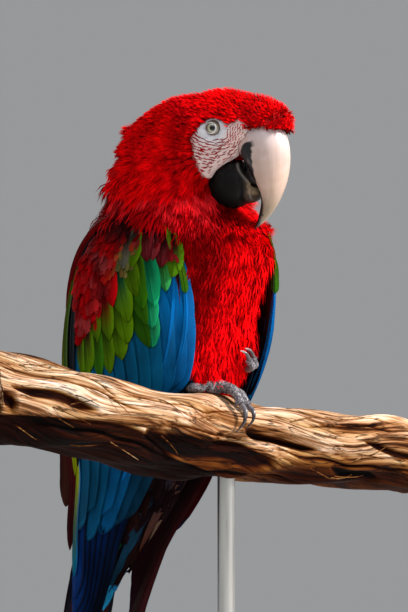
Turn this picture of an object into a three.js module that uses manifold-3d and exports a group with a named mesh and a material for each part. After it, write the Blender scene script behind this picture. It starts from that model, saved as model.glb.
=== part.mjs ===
// A life-size green-winged macaw as a still museum model. It stands on one foot on a short cut
// branch, the other foot tucked into its belly, and a rod and a flat base carry the branch.
// Millimetres, +Z up. The origin is the centre of the base's underside. The bird's breast faces
// -Y and its left side is +X.
import * as THREE from "three";
import { mergeVertices } from "three/addons/utils/BufferGeometryUtils.js";
import Module from "manifold-3d";

const wasm = await Module();
wasm.setup();

// ---------------------------------------------------------------- driving dimensions
const GAP = 0.3; // clearance between pieces that touch
const FAR = 1000; // further than any point of the model
const SIDES = { right: -1, left: 1 };

const BASE = { radius: 160, height: 20, chamfer: 2 };
const ROD = { x: 5, y: -34, radius: 7, sunkInBase: 12, top: 458 };
const COLLAR = { radius: 17, height: 9, bevel: 3 };

// The branch lies across the bird, along X. It falls a little towards the bird's left, and its
// middle sags.
const PERCH = {
  from: -300, to: 240, radius: 33, y: -33, height: 473.5, fall: 0.105, sag: 4.2, strands: 5, twist: 0.011,
  groove: { at: 1.65, depth: 9, from: -55, to: 130 },
};

// The head's own frame: forward, left and up from the middle of the skull.
const HEAD = { centre: [-10, -35, 717], turnedLeft: THREE.MathUtils.degToRad(12) };
const EYE = { forward: 11.1, up: 3.7, out: 23.4, radius: 7 };

// Level cuts through the neck and trunk, feathers included: height, sideways shift,
// breast and back along Y, and half width.
const BODY_LEVELS = [
  { z: 348, x: 0, breast: 86, back: 108, wide: 13 },
  { z: 372, x: 0, breast: 68, back: 109, wide: 21 },
  { z: 400, x: 0, breast: 48, back: 107, wide: 28 },
  { z: 441, x: 0, breast: 17, back: 103, wide: 37 },
  { z: 465, x: 0, breast: 9, back: 101, wide: 43 },
  { z: 490, x: 0, breast: -1, back: 100, wide: 49 },
  { z: 508, x: 0, breast: -22, back: 99, wide: 54 },
  { z: 524, x: 0, breast: -38, back: 99, wide: 58 },
  { z: 548, x: 0, breast: -45, back: 99, wide: 61 },
  { z: 576, x: 0, breast: -52, back: 99, wide: 63 },
  { z: 602, x: 0, breast: -61, back: 96, wide: 64 },
  { z: 634, x: -1, breast: -69, back: 84, wide: 63 },
  { z: 653, x: -3, breast: -65, back: 73, wide: 58 },
  { z: 668, x: -6, breast: -45, back: 66, wide: 49 },
  { z: 690, x: -9, breast: -22, back: 51, wide: 38 },
  { z: 712, x: -10, breast: -18, back: 26, wide: 23 },
];
// Rounded masses of the head, in its own frame: middle and half sizes (forward, left, up).
const HEAD_MASSES = [
  { at: [-6, 0, 2], half: [46, 31, 30] }, // brain case and crown
  { at: [26, 0, 8], half: [36, 22, 26] }, // face and forehead
  { at: [47, 0, 8], half: [23.5, 16.5, 12.5] }, // brow over the bill
  { at: [54, 0, 0], half: [12.5, 13.5, 10.5] }, // its front, which hangs over the ridge
  { at: [-34, 0, -34], half: [50, 39, 57] }, // raised hind-neck
  { at: [-12, 0, -30], half: [26, 33, 36] }, // cheeks
];
// The room that the bill takes from the face, in profile (forward, up).
const BILL_ROOM = [
  [95, -9], [66.5, -9], [64, -1.5], [57, 5], [46, 2], [37, -9], [34, -17], [26, -22], [12, -27],
  [3, -38], [4, -50], [12, -60], [95, -60],
];
const THIGHS = [
  { at: [-20, -10, 536], half: [22, 24, 27] }, // standing leg
  { at: [24, -22, 556], half: [20, 22, 20] }, // tucked leg
];
// Widths of the fillets where the rounded masses run into each other.
const FILLET = { head: 12, neck: 16, thigh: 12, bill: 5 };
const BODY_TOP = 752.3;
const BODY_BOTTOM = 349;
const BODY_RINGS = 32;
const BODY_AROUND = 24;
const BODY_REACH = 150; // no point of the body lies further than this from its middle line

// ---------------------------------------------------------------- small mathematics
const lerp = THREE.MathUtils.lerp;
const { clamp, smoothstep } = THREE.MathUtils;
const vec = (x, y, z) => new THREE.Vector3(x, y, z);

// A smooth curve through the values that a list of levels gives at its positions.
function throughLevels(levels, position, names) {
  const spline = new THREE.CubicInterpolant(
    levels.map((level) => level[position]),
    levels.flatMap((level) => names.map((name) => level[name])),
    names.length,
  );
  return (t) => {
    const values = spline.evaluate(t);
    return Object.fromEntries(names.map((name, i) => [name, values[i]]));
  };
}

// The lesser of two distances with a fillet of about the given width.
function blended(a, b, width) {
  const h = clamp(0.5 + (0.5 * (b - a)) / width, 0, 1);
  return lerp(b, a, h) - width * h * (1 - h);
}

function ellipsoid(p, at, half) {
  const q = [0, 1, 2].map((i) => (p[i] - at[i]) / half[i]);
  const k = Math.hypot(...q);
  const slope = Math.hypot(...q.map((value, i) => value / half[i]));
  return slope < 1e-9 ? -Math.min(...half) : (k * (k - 1)) / slope;
}

// Signed distance from a point to a closed polygon, negative inside.
function polygonDistance(point, corners) {
  let nearest = Infinity;
  let inside = false;
  corners.forEach((a, i) => {
    const b = corners[(i + 1) % corners.length];
    const along = [b[0] - a[0], b[1] - a[1]];
    const from = [point[0] - a[0], point[1] - a[1]];
    const share = clamp(
      (from[0] * along[0] + from[1] * along[1]) / (along[0] ** 2 + along[1] ** 2), 0, 1,
    );
    nearest = Math.min(nearest, Math.hypot(from[0] - along[0] * share, from[1] - along[1] * share));
    const crosses = a[1] > point[1] !== b[1] > point[1];
    if (crosses && point[0] < a[0] + (along[0] * (point[1] - a[1])) / along[1]) inside = !inside;
  });
  return inside ? -nearest : nearest;
}

// ---------------------------------------------------------------- solids from rings
function closedGeometry(points, faces) {
  const geometry = new THREE.BufferGeometry();
  geometry.setAttribute(
    "position", new THREE.Float32BufferAttribute(points.flatMap((p) => [p.x, p.y, p.z]), 3),
  );
  geometry.setIndex(faces);
  return geometry;
}

const middleOf = (ring) => ring.reduce((sum, p) => sum.add(p), vec(0, 0, 0)).divideScalar(ring.length);

// A closed body through rings of points; each end is closed to its middle. A grown body's end
// rings are moved outwards by the same clearance as its sides.
function throughRings(rings, grown = 0) {
  const around = rings[0].length;
  const ends = [[0, 1], [rings.length - 1, rings.length - 2]];
  ends.forEach(([end, next]) => {
    const outwards = middleOf(rings[end]).sub(middleOf(rings[next])).setLength(grown);
    rings[end].forEach((point) => point.add(outwards));
  });
  const points = rings.flat();
  const faces = [];
  for (let j = 0; j + 1 < rings.length; j++) {
    for (let i = 0; i < around; i++) {
      const a = j * around + i;
      const b = j * around + ((i + 1) % around);
      faces.push(a, b, b + around, a, b + around, a + around);
    }
  }
  ends.forEach(([row]) => {
    const tip = points.push(middleOf(rings[row])) - 1;
    for (let i = 0; i < around; i++) {
      const a = row * around + i;
      const b = row * around + ((i + 1) % around);
      faces.push(...(row ? [a, b, tip] : [b, a, tip]));
    }
  });
  return closedGeometry(points, faces);
}

// A tube that follows a path in one plane. `side` is the plane's normal; half sizes run 0 to 1.
function planeTube({ path, side, halfWide, halfHigh, around, steps }, grown = 0) {
  const rings = [];
  for (let j = 0; j <= steps; j++) {
    const t = j / steps;
    const middle = path.getPoint(t);
    const rise = side.clone().cross(path.getTangent(t)).normalize();
    const ring = [];
    for (let i = 0; i < around; i++) {
      const angle = (2 * Math.PI * i) / around;
      ring.push(
        middle.clone()
          .addScaledVector(side, (halfWide(t) + grown) * Math.cos(angle))
          .addScaledVector(rise, (halfHigh(t) + grown) * Math.sin(angle)),
      );
    }
    rings.push(ring);
  }
  return throughRings(rings, grown);
}

function solidOf(geometry) {
  const bare = geometry.clone();
  ["normal", "uv"].forEach((name) => bare.deleteAttribute(name));
  const merged = mergeVertices(bare, 1e-3);
  const corners = new Uint32Array(merged.index.array);
  const build = () =>
    new wasm.Manifold(new wasm.Mesh({
      numProp: 3, vertProperties: merged.attributes.position.array, triVerts: corners,
    }));
  const made = build();
  if (made.volume() > 0) return made;
  for (let i = 0; i < corners.length; i += 3) {
    [corners[i + 1], corners[i + 2]] = [corners[i + 2], corners[i + 1]];
  }
  return build();
}

function geometryOf(solid) {
  const mesh = solid.getMesh();
  const points = new Float32Array(mesh.numVert * 3);
  for (let i = 0; i < mesh.numVert; i++) {
    points.set(mesh.vertProperties.subarray(i * mesh.numProp, i * mesh.numProp + 3), i * 3);
  }
  const geometry = new THREE.BufferGeometry();
  geometry.setAttribute("position", new THREE.BufferAttribute(points, 3));
  geometry.setIndex(new THREE.BufferAttribute(mesh.triVerts, 1));
  geometry.computeVertexNormals();
  return geometry;
}

// The part of a solid on the side of a plane that its normal points to, half a gap short of it.
function beyond(solid, point, normal) {
  const n = normal.clone().normalize();
  return solid.trimByPlane([n.x, n.y, n.z], point.dot(n) + GAP / 2);
}

// The two parts of a solid either side of a plane, a thin gap apart.
function parted(solid, point, normal) {
  return [beyond(solid, point, normal), beyond(solid, point, normal.clone().negate())];
}

function largest(solid) {
  return solid.decompose().reduce((best, piece) => (piece.volume() > best.volume() ? piece : best));
}

// ---------------------------------------------------------------- the head's frame
const headForward = vec(Math.sin(HEAD.turnedLeft), -Math.cos(HEAD.turnedLeft), 0);
const headLeft = vec(Math.cos(HEAD.turnedLeft), Math.sin(HEAD.turnedLeft), 0);
const headUp = vec(0, 0, 1);
const headCentre = vec(...HEAD.centre);

function headPoint(forward, left, up) {
  return headCentre.clone()
    .addScaledVector(headForward, forward)
    .addScaledVector(headLeft, left)
    .addScaledVector(headUp, up);
}

function inHead(p) {
  const from = p.clone().sub(headCentre);
  return [from.dot(headForward), from.dot(headLeft), from.dot(headUp)];
}

// ---------------------------------------------------------------- head, neck and trunk
const bodyLevel = throughLevels(BODY_LEVELS, "z", ["x", "breast", "back", "wide"]);

function trunkDistance(p) {
  const first = BODY_LEVELS[0].z;
  const last = BODY_LEVELS.at(-1).z;
  const level = bodyLevel(clamp(p.z, first, last));
  const deep = (level.back - level.breast) / 2;
  const along = (p.y - level.back + deep) / deep;
  const across = (p.x - level.x) / level.wide;
  const reach = Math.hypot(along * deep, across * level.wide);
  const ring = Math.hypot(along, across);
  const sideways = ring < 1e-6 ? -level.wide : reach * (1 - 1 / ring);
  return Math.max(sideways, p.z - last, first - p.z);
}

function bodyDistance(p) {
  const local = inHead(p);
  let head = FAR;
  HEAD_MASSES.forEach(({ at, half }) => {
    head = blended(head, ellipsoid(local, at, half), FILLET.head);
  });
  let distance = blended(trunkDistance(p), head, FILLET.neck);
  THIGHS.forEach(({ at, half }) => {
    distance = blended(distance, ellipsoid([p.x, p.y, p.z], at, half), FILLET.thigh);
  });
  const room = polygonDistance([local[0], local[2]], BILL_ROOM);
  return -blended(-distance, room, FILLET.bill);
}

// The outermost surface point on a level ray from a middle, grown outwards by a clearance.
function surfaceOnRay(middle, direction, grown) {
  let outer = BODY_REACH;
  const at = (reach) => middle.clone().addScaledVector(direction, reach);
  while (outer > 1 && bodyDistance(at(outer)) > grown) outer -= 2;
  let [low, high] = [outer, outer + 2];
  for (let i = 0; i < 14; i++) {
    const half = (low + high) / 2;
    if (bodyDistance(at(half)) > grown) high = half;
    else low = half;
  }
  return at(Math.max(low, 0.4));
}

function bodySolid(grown) {
  const rings = [];
  for (let j = 0; j <= BODY_RINGS; j++) {
    const t = j / BODY_RINGS;
    const crowded = t - 0.11 * Math.sin(2 * Math.PI * t) + 0.025 * Math.sin(4 * Math.PI * t);
    const z = lerp(BODY_BOTTOM - grown, BODY_TOP - 0.6 + grown, crowded);
    const level = bodyLevel(clamp(z, BODY_BOTTOM, 690));
    const trunkMiddle = vec(level.x, (level.breast + level.back) / 2, z);
    const headMiddle = headPoint(lerp(-22, 16, smoothstep(z, 700, 750)), 0, 0).setZ(z);
    const middle = trunkMiddle.lerp(headMiddle, smoothstep(z, 640, 700));
    const ring = [];
    for (let i = 0; i < BODY_AROUND; i++) {
      const angle = (2 * Math.PI * i) / BODY_AROUND;
      ring.push(surfaceOnRay(middle, vec(Math.sin(angle), -Math.cos(angle), 0), grown));
    }
    rings.push(ring);
  }
  return solidOf(throughRings(rings));
}

// ---------------------------------------------------------------- bill and eyes
const alongSteps = (values) => {
  const spline = new THREE.CubicInterpolant(
    values.map((_, i) => i / (values.length - 1)), values, 1,
  );
  return (t) => spline.evaluate(t)[0];
};

// Profile of the hooked upper bill (forward, up): its ridge, its cutting edge, and half widths.
const UPPER_BILL = {
  ridge: [[42, 16], [58, 6], [64, -7], [65.5, -21], [63.5, -36], [58.5, -50], [51.5, -62], [44, -70], [36, -76.5]],
  edge: [[20, 2], [23, -8], [27, -17], [32, -26], [38, -36], [42.5, -45], [44, -54], [41, -65], [35, -77]],
  wide: [14, 16, 16.5, 15.5, 13.5, 10.5, 8, 5, 0.7],
};

// A body whose profile in the head's frame runs between two matching lines.
function profileSolid({ ridge, edge, wide: widths }, grown, around = 12, steps = 11) {
  const line = (points) => new THREE.CatmullRomCurve3(points.map(([f, u]) => headPoint(f, 0, u)));
  const [upper, lower, halfWide] = [line(ridge), line(edge), alongSteps(widths)];
  const rings = [];
  for (let j = 0; j <= steps; j++) {
    const [a, b] = [upper.getPoint(j / steps), lower.getPoint(j / steps)];
    const middle = a.clone().lerp(b, 0.5);
    const rise = a.clone().sub(b).multiplyScalar(0.5);
    rise.setLength(rise.length() + grown);
    const wide = halfWide(j / steps) + grown;
    rings.push(Array.from({ length: around }, (_, i) => {
      const angle = (2 * Math.PI * i) / around;
      const square = Math.sin(angle) < 0 ? 0.55 : 1; // the ridge is round, the edge side flat
      const [across, up] = [Math.cos(angle), Math.sin(angle)].map(
        (value) => Math.sign(value) * Math.abs(value) ** square,
      );
      return middle.clone().addScaledVector(rise, up).addScaledVector(headLeft, wide * across);
    }));
  }
  return solidOf(throughRings(rings, grown));
}

const upperBill = (grown) => profileSolid(UPPER_BILL, grown);

const ball = (radius, rows) => new THREE.SphereGeometry(radius, rows * 2, rows);

function headEllipsoid(at, half, grown, rows) {
  const geometry = ball(1, rows);
  geometry.scale(half[0] + grown, half[1] + grown, half[2] + grown);
  geometry.applyMatrix4(new THREE.Matrix4().makeBasis(headForward, headLeft, headUp));
  geometry.translate(...headPoint(...at).toArray());
  return solidOf(geometry);
}

// The lower bill is a deep scoop with a blunt lip. Its top is hollow, and the tongue lies in it.
const LOWER_BILL = [
  { at: [15, 0, -40], half: [21.5, 17, 20] },
  { at: [29, 0, -48], half: [13, 11, 8] },
];
const LOWER_HOLLOW = { at: [38, 0, -33], half: [15, 9, 11] };
const TONGUE_SHARE = 0.75; // of the hollow

function lowerBill(grown) {
  const [bowl, lip] = LOWER_BILL.map(({ at, half }) => headEllipsoid(at, half, grown, 7));
  return bowl.add(lip);
}

const eyeAt = (side) => headPoint(EYE.forward, side * EYE.out, EYE.up);

function eyeSolid(side, grown) {
  const geometry = ball(EYE.radius + grown, 6);
  geometry.rotateZ(HEAD.turnedLeft);
  geometry.translate(...eyeAt(side).toArray());
  return solidOf(geometry);
}

// ---------------------------------------------------------------- the branch
function perchMiddle(x) {
  const bend = 2.2 * Math.sin(x / 70) + 1.2 * Math.sin(x / 31 + 1) + PERCH.sag * (1 - Math.cos(x / 95));
  return vec(x, PERCH.y + 2 * Math.sin(x / 55 + 2.3), PERCH.height - PERCH.fall * x + bend);
}

// Surface of the branch: `angle` is 0 on top and grows towards -Y. Twisted strands run along
// it, with a deeper hollow between two of them in front of the foot.
function perchRadius(x, angle) {
  const turned = angle + PERCH.twist * x;
  const { at, depth, from, to } = PERCH.groove;
  const open = smoothstep(x, from, from + 40) * smoothstep(-x, -to, 40 - to);
  const across = Math.atan2(Math.sin(angle - at), Math.cos(angle - at));
  const strands = 0.045 * Math.cos(PERCH.strands * turned) + 0.04 * Math.cos(2 * turned + 1);
  return PERCH.radius * (1 + strands - x / 2600) - depth * open * Math.exp(-((across / 0.36) ** 2));
}

function onPerch(x, angle, above) {
  const reach = perchRadius(x, angle) + above;
  return perchMiddle(x).add(vec(0, -Math.sin(angle) * reach, Math.cos(angle) * reach));
}

function perchSolid(grown) {
  const [around, steps] = [22, 16];
  const rings = [];
  for (let j = 0; j <= steps; j++) {
    const x = lerp(PERCH.from, PERCH.to, j / steps);
    rings.push(Array.from({ length: around }, (_, i) => onPerch(x, (2 * Math.PI * i) / around, grown)));
  }
  return solidOf(throughRings(rings, grown));
}

// ---------------------------------------------------------------- feet
// Stations of each toe and claw on the branch: place along it, degrees round it from the top
// towards the breast, and height above the bark. Toes 2 and 3 point forward, 1 and 4 back.
const STANDING_TOES = [
  { name: 2, toe: [[-8, -12, 5.6], [-3, 8, 6.2], [0, 22, 8.5], [2, 33, 9], [3, 44, 6]],
    claw: [[3, 46, 6], [2, 56, 7.5], [0, 66, 6], [-3, 75, 1.6]] },
  { name: 3, toe: [[-16, -12, 5.8], [-12, 6, 7], [-9, 20, 10], [-7, 31, 11], [-6, 44, 7.5]],
    claw: [[-6, 46, 7.5], [-8, 58, 8], [-11, 70, 5.5], [-14, 81, 1]] },
  { name: 1, toe: [[-10, 10, 5.6], [-5, -14, 5.7], [-1, -36, 5.3]],
    claw: [[-1, -38, 4.5], [0, -50, 6], [1, -64, 1.5]] },
  { name: 4, toe: [[-15, 10, 5.6], [-20, -16, 6], [-25, -38, 5.7], [-27, -50, 5.3]],
    claw: [[-27, -52, 4.5], [-28, -64, 6], [-28, -78, 1.5]] },
];
const TOE = { radius: 4.7, taper: 0.2, claw: 2.7, clawTip: 0.5 };
const PAD = { x: -12, half: [11.5, 10.5, 6], lift: 6.7 };
const SHANK = { top: [-16, -2, 540], foot: [-12, 0, 9], radius: 6 };
// The tucked foot closes at the belly: stations of its showing toe and claw, and a shift for
// the toe beside it.
const TUCKED = {
  toe: [[29, -24, 529], [25, -40, 526], [16, -51.5, 531.5], [11, -52.5, 538.5]],
  claw: [[10.8, -52.5, 539], [8.5, -52.5, 542.5], [6, -51.5, 545], [4, -49, 546]],
  shifts: [[0, 0, 0], [9, 3, 2]], radius: 3.9, clawRadius: 2,
};

const across = vec(1, 0, 0);

const stationsOnPerch = (stations) => new THREE.CatmullRomCurve3(
  stations.map(([x, degrees, above]) => onPerch(x, THREE.MathUtils.degToRad(degrees), above)),
);

function toeTube(path, radius, grown) {
  const knuckles = (t) => radius * (1 - TOE.taper * t + 0.06 * Math.cos(6 * Math.PI * t));
  return solidOf(planeTube(
    { path, side: across, halfWide: knuckles, halfHigh: knuckles, around: 8, steps: 6 }, grown,
  ));
}

function clawTube(path, radius, grown) {
  const halfHigh = (t) => lerp(radius, TOE.clawTip, t ** 1.4);
  const halfWide = (t) => 0.85 * halfHigh(t);
  return solidOf(planeTube({ path, side: across, halfWide, halfHigh, around: 6, steps: 5 }, grown));
}

const standingToe = ({ toe }, grown) => toeTube(stationsOnPerch(toe), TOE.radius, grown);
const standingClaw = ({ claw }, grown) => clawTube(stationsOnPerch(claw), TOE.claw, grown);

// The pad where the standing toes meet.
function standingPad(grown) {
  const geometry = ball(1, 5);
  geometry.scale(...PAD.half.map((half) => half + grown));
  geometry.translate(...onPerch(PAD.x, 0, PAD.lift).toArray());
  return solidOf(geometry);
}

function standingShank(grown) {
  const [x, angle, above] = SHANK.foot;
  const foot = onPerch(x, angle, above);
  const top = vec(...SHANK.top);
  const path = new THREE.CatmullRomCurve3([top, foot.clone().lerp(top, 0.5), foot]);
  const size = () => SHANK.radius;
  return solidOf(planeTube(
    { path, side: across, halfWide: size, halfHigh: size, around: 10, steps: 2 }, grown,
  ));
}

// The tucked toes share their root: a toe's stations move over by more and more of its shift.
function tuckedToe(shift, grown) {
  const last = TUCKED.toe.length - 1;
  const path = new THREE.CatmullRomCurve3(
    TUCKED.toe.map((station, i) => vec(...station).addScaledVector(vec(...shift), i / last)),
  );
  return toeTube(path, TUCKED.radius, grown);
}

function tuckedClaw(shift, grown) {
  const path = new THREE.CatmullRomCurve3(
    TUCKED.claw.map((station) => vec(...station).add(vec(...shift))),
  );
  return clawTube(path, TUCKED.clawRadius, grown);
}

// ---------------------------------------------------------------- wings
// Level cuts through a folded wing: each is an arc of an ellipse about a middle at x = 0, from
// the leading to the trailing edge, in degrees from the breast's side.
const WING_LEVELS = [
  { z: 262, y: 114, wide: 36, deep: 8, front: 74, rear: 100 },
  { z: 300, y: 100, wide: 38.5, deep: 20, front: 68, rear: 112 },
  { z: 357, y: 82, wide: 41, deep: 31, front: 68, rear: 116 },
  { z: 404, y: 68, wide: 48, deep: 41, front: 69, rear: 126 },
  { z: 446, y: 54, wide: 56, deep: 54, front: 60, rear: 128 },
  { z: 480, y: 45, wide: 64, deep: 63, front: 50, rear: 135 },
  { z: 511, y: 37, wide: 73, deep: 73, front: 42, rear: 143 },
  { z: 545, y: 29, wide: 79, deep: 79, front: 39, rear: 150 },
  { z: 591, y: 22, wide: 80, deep: 80, front: 41, rear: 151 },
  { z: 626, y: 14, wide: 76, deep: 77, front: 50, rear: 143 },
  { z: 645, y: 8, wide: 69, deep: 72, front: 64, rear: 126 },
  { z: 655, y: 5, wide: 63, deep: 66, front: 84, rear: 104 },
];
const WING_NAMES = ["y", "wide", "deep", "front", "rear"];
const WING_EDGE = 2.4; // thickness at the leading and trailing edges
const WING_TOP = WING_LEVELS.at(-1).z;
const wingLevel = throughLevels(WING_LEVELS, "z", WING_NAMES);

// The bird holds its left wing a little further forward than its right one.
function wingLead(side, z) {
  return side === SIDES.left ? 7.5 * smoothstep(z, 380, 450) * smoothstep(WING_TOP - z, 0, 78) : 0;
}

// A point of a wing: u from the leading to the trailing edge, depth inwards from the outer face.
function wingPoint(side, z, u, depth) {
  const { y, wide, deep, front, rear } = wingLevel(z);
  const angle = THREE.MathUtils.degToRad(lerp(front, rear, u));
  const lead = wingLead(side, z);
  return vec(
    side * ((wide - depth) * Math.sin(angle) + 0.2 * lead),
    y - lead - (deep - depth) * Math.cos(angle),
    z,
  );
}

function wingThickness(z, u) {
  const arm = lerp(3.6, 24, smoothstep(z, 440, 545)) * lerp(0.4, 1, smoothstep(WING_TOP - z, 0, 30));
  return lerp(WING_EDGE, Math.max(arm, WING_EDGE), Math.sin(Math.PI * u) ** 0.8);
}

function wingSolid(side) {
  const [along, down] = [9, 17];
  const rings = [];
  for (let j = 0; j <= down; j++) {
    const z = lerp(WING_TOP, WING_LEVELS[0].z, (1 - j / down) ** 1.35);
    const outer = [];
    const inner = [];
    for (let i = 0; i <= along; i++) {
      const u = i / along;
      outer.push(wingPoint(side, z, u, 0));
      inner.unshift(wingPoint(side, z, u, wingThickness(z, u)));
    }
    rings.push([...outer, ...inner]);
  }
  return solidOf(throughRings(rings));
}

// ---------------------------------------------------------------- tail
// Twelve feathers in six pairs. The middle pair is the longest and lies nearest the back.
const TAIL = {
  base: vec(0, 95, 446), lean: 0.2, lengths: [400, 352, 300, 252, 212, 178],
  width: 20, thick: 1.7, layer: 2.1, outward: 1.2, splay: 0.45,
};
const TAIL_SLOT = { wide: 120, long: 240, early: 1.5 }; // it starts a little above the feathers
const tailDown = vec(0, TAIL.lean, -1).normalize();
const tailOut = vec(0, 1, TAIL.lean).normalize(); // towards the back

function tailFeather(side, pair) {
  const length = TAIL.lengths[pair];
  const inner = 0.3 + pair * TAIL.outward;
  const outline = new THREE.Shape();
  outline.moveTo(inner, 0);
  outline.lineTo(inner, length * 0.8);
  outline.quadraticCurveTo(inner + 0.5, length * 0.96, inner + TAIL.width * 0.3, length);
  outline.quadraticCurveTo(inner + TAIL.width * 0.8, length * 0.93, inner + TAIL.width * 0.92, length * 0.72);
  outline.quadraticCurveTo(inner + TAIL.width, length * 0.5, inner + TAIL.width, length * 0.3);
  outline.lineTo(inner + TAIL.width * 0.6, 0);
  const geometry = new THREE.ExtrudeGeometry(outline, {
    depth: TAIL.thick, bevelEnabled: false, curveSegments: 4,
  });
  const turn = new THREE.Matrix4().makeRotationZ(-THREE.MathUtils.degToRad(TAIL.splay * pair));
  const place = new THREE.Matrix4().makeBasis(vec(side, 0, 0), tailDown, tailOut);
  geometry.applyMatrix4(turn);
  geometry.applyMatrix4(place);
  const start = TAIL.base.clone().addScaledVector(tailOut, -pair * TAIL.layer - TAIL.thick / 2);
  geometry.translate(...start.toArray());
  return solidOf(geometry);
}

// The slot in the rump that holds the roots of the tail feathers.
function tailSlot() {
  const deep = TAIL.layer * TAIL.lengths.length + 2 * GAP;
  const { wide, long, early } = TAIL_SLOT;
  const geometry = new THREE.BoxGeometry(wide, long, deep);
  geometry.translate(0, long / 2 - early, TAIL.thick / 2 + GAP - deep / 2);
  geometry.applyMatrix4(new THREE.Matrix4().makeBasis(vec(1, 0, 0), tailDown, tailOut));
  geometry.translate(...TAIL.base.toArray());
  return solidOf(geometry);
}

// ---------------------------------------------------------------- stand
function latheSolid(profile, segments = 40) {
  const geometry = new THREE.LatheGeometry(profile.map(([r, z]) => new THREE.Vector2(r, z)), segments);
  geometry.rotateX(Math.PI / 2);
  return solidOf(geometry);
}

function rodSolid(grown) {
  const low = BASE.height - ROD.sunkInBase - grown;
  const radius = ROD.radius + grown;
  return latheSolid([[0, low], [radius, low], [radius, ROD.top + grown], [0, ROD.top + grown]], 20)
    .translate([ROD.x, ROD.y, 0]);
}

function baseSolid() {
  const { radius, height, chamfer } = BASE;
  return latheSolid([
    [0, 0], [radius - chamfer, 0], [radius, chamfer], [radius, height - chamfer],
    [radius - chamfer, height], [0, height],
  ], 40).subtract(rodSolid(GAP));
}

function collarSolid() {
  const low = BASE.height + GAP;
  return latheSolid([
    [0, low], [COLLAR.radius, low], [COLLAR.radius, low + COLLAR.height - COLLAR.bevel],
    [COLLAR.radius - COLLAR.bevel, low + COLLAR.height], [0, low + COLLAR.height],
  ], 20).translate([ROD.x, ROD.y, 0]).subtract(rodSolid(GAP));
}

// ---------------------------------------------------------------- the model
const model = new THREE.Group();

const finish = (color, roughness, metalness = 0) =>
  new THREE.MeshStandardMaterial({ color, roughness, metalness });
const FINISHES = {
  redFeather: finish(0xb30d10, 0.75),
  wingFeather: finish(0x1f6fb5, 0.6),
  greenFeather: finish(0x5a7a1c, 0.6),
  tailFeather: finish(0x8c1512, 0.6),
  paleBill: finish(0xe6cdb4, 0.35),
  darkBill: finish(0x1c1a1b, 0.3),
  eye: finish(0xd9d39a, 0.1),
  foot: finish(0x6f6a70, 0.65),
  claw: finish(0x2b2930, 0.35),
  bark: finish(0x9a6f4c, 0.85),
  standWood: finish(0x2a2523, 0.5),
  standMetal: finish(0xb8babd, 0.3, 1),
};

function place(name, solid, material) {
  const mesh = new THREE.Mesh(geometryOf(largest(solid)), material);
  mesh.name = name;
  model.add(mesh);
}

const join = (solids) => solids.reduce((whole, solid) => whole.add(solid));

const billUpper = upperBill(0);
const lowerWhole = lowerBill(0).subtract(upperBill(GAP));
const { at: hollowAt, half: hollowHalf } = LOWER_HOLLOW;
const billLower = lowerWhole.subtract(headEllipsoid(hollowAt, hollowHalf, 0, 6));
const tongue = headEllipsoid(hollowAt, hollowHalf.map((half) => half * TONGUE_SHARE), 0, 5)
  .subtract(upperBill(GAP));

// The branch, the feet and the pieces of the face come first: the feathers are cut back from them.
const perch = perchSolid(0).subtract(rodSolid(GAP));
const toes = join([standingPad(0), ...STANDING_TOES.map((toe) => standingToe(toe, 0))]);
const claws = join(STANDING_TOES.map((toe) => standingClaw(toe, GAP)));
const standingFoot = toes.subtract(perchSolid(GAP)).subtract(claws);
const grownFoot = join([standingPad(GAP), ...STANDING_TOES.map((toe) => standingToe(toe, GAP))]);
const tuckedFoot = join(TUCKED.shifts.map((shift) => tuckedToe(shift, 0)));
const hollows = join([
  perchSolid(GAP), grownFoot, claws, standingShank(GAP), upperBill(GAP), lowerBill(GAP), tailSlot(),
  ...Object.values(SIDES).map((side) => eyeSolid(side, GAP)),
  ...TUCKED.shifts.flatMap((shift) => [tuckedToe(shift, GAP), tuckedClaw(shift, GAP)]),
]);

// The feathered thighs are the lower front of the belly, with the undertail coverts below them.
const FLESH_CUTS = {
  jaw: [headPoint(0, 0, -54), vec(0, -0.42, 1)],
  shoulders: [vec(0, 0, 638), vec(0, -0.1, 1)],
  belly: [vec(0, 0, 520), vec(0, 0.75, 0.66)],
  vent: [vec(0, 0, 470), vec(0, -0.3, 1)],
  betweenThighs: [vec(0, 0, 0), vec(1, 0, 0)],
};
const flesh = bodySolid(0).subtract(hollows);
const [head, belowHead] = parted(flesh, ...FLESH_CUTS.jaw);
const [neck, trunkAndLegs] = parted(belowHead, ...FLESH_CUTS.shoulders);
const [trunk, belly] = parted(trunkAndLegs, ...FLESH_CUTS.belly);
const [thighs, undertail] = parted(belly, ...FLESH_CUTS.vent);
const [thighLeft, thighRight] = parted(thighs, ...FLESH_CUTS.betweenThighs);

place("head", head, FINISHES.redFeather);
place("neck", neck, FINISHES.redFeather);
place("trunk", trunk, FINISHES.redFeather);
place("thigh_left", thighLeft, FINISHES.redFeather);
place("thigh_right", thighRight, FINISHES.redFeather);
place("undertail", undertail, FINISHES.redFeather);
place("bill_upper", billUpper, FINISHES.paleBill);
place("bill_lower", billLower, FINISHES.darkBill);
place("tongue", tongue, FINISHES.darkBill);

const WING_CUTS = [
  { name: "primaries", at: vec(0, 60, 400), normal: vec(0, -0.35, 1) },
  { name: "secondaries", at: vec(0, 0, 512), normal: vec(0, 0.55, 1) },
];
const clearOfWings = join([perchSolid(GAP), grownFoot, bodySolid(GAP)]);
for (const [sideName, side] of Object.entries(SIDES)) {
  place(`eye_${sideName}`, eyeSolid(side, 0), FINISHES.eye);
  let wing = largest(wingSolid(side).subtract(clearOfWings));
  WING_CUTS.forEach(({ name, at, normal }) => {
    const [above, below] = parted(wing, at, normal);
    place(`wing_${sideName}_${name}`, below, FINISHES.wingFeather);
    wing = above;
  });
  place(`wing_${sideName}_coverts`, wing, FINISHES.greenFeather);
  TAIL.lengths.forEach((_, pair) => {
    place(`tail_${sideName}_${pair + 1}`, tailFeather(side, pair), FINISHES.tailFeather);
  });
}

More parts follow.
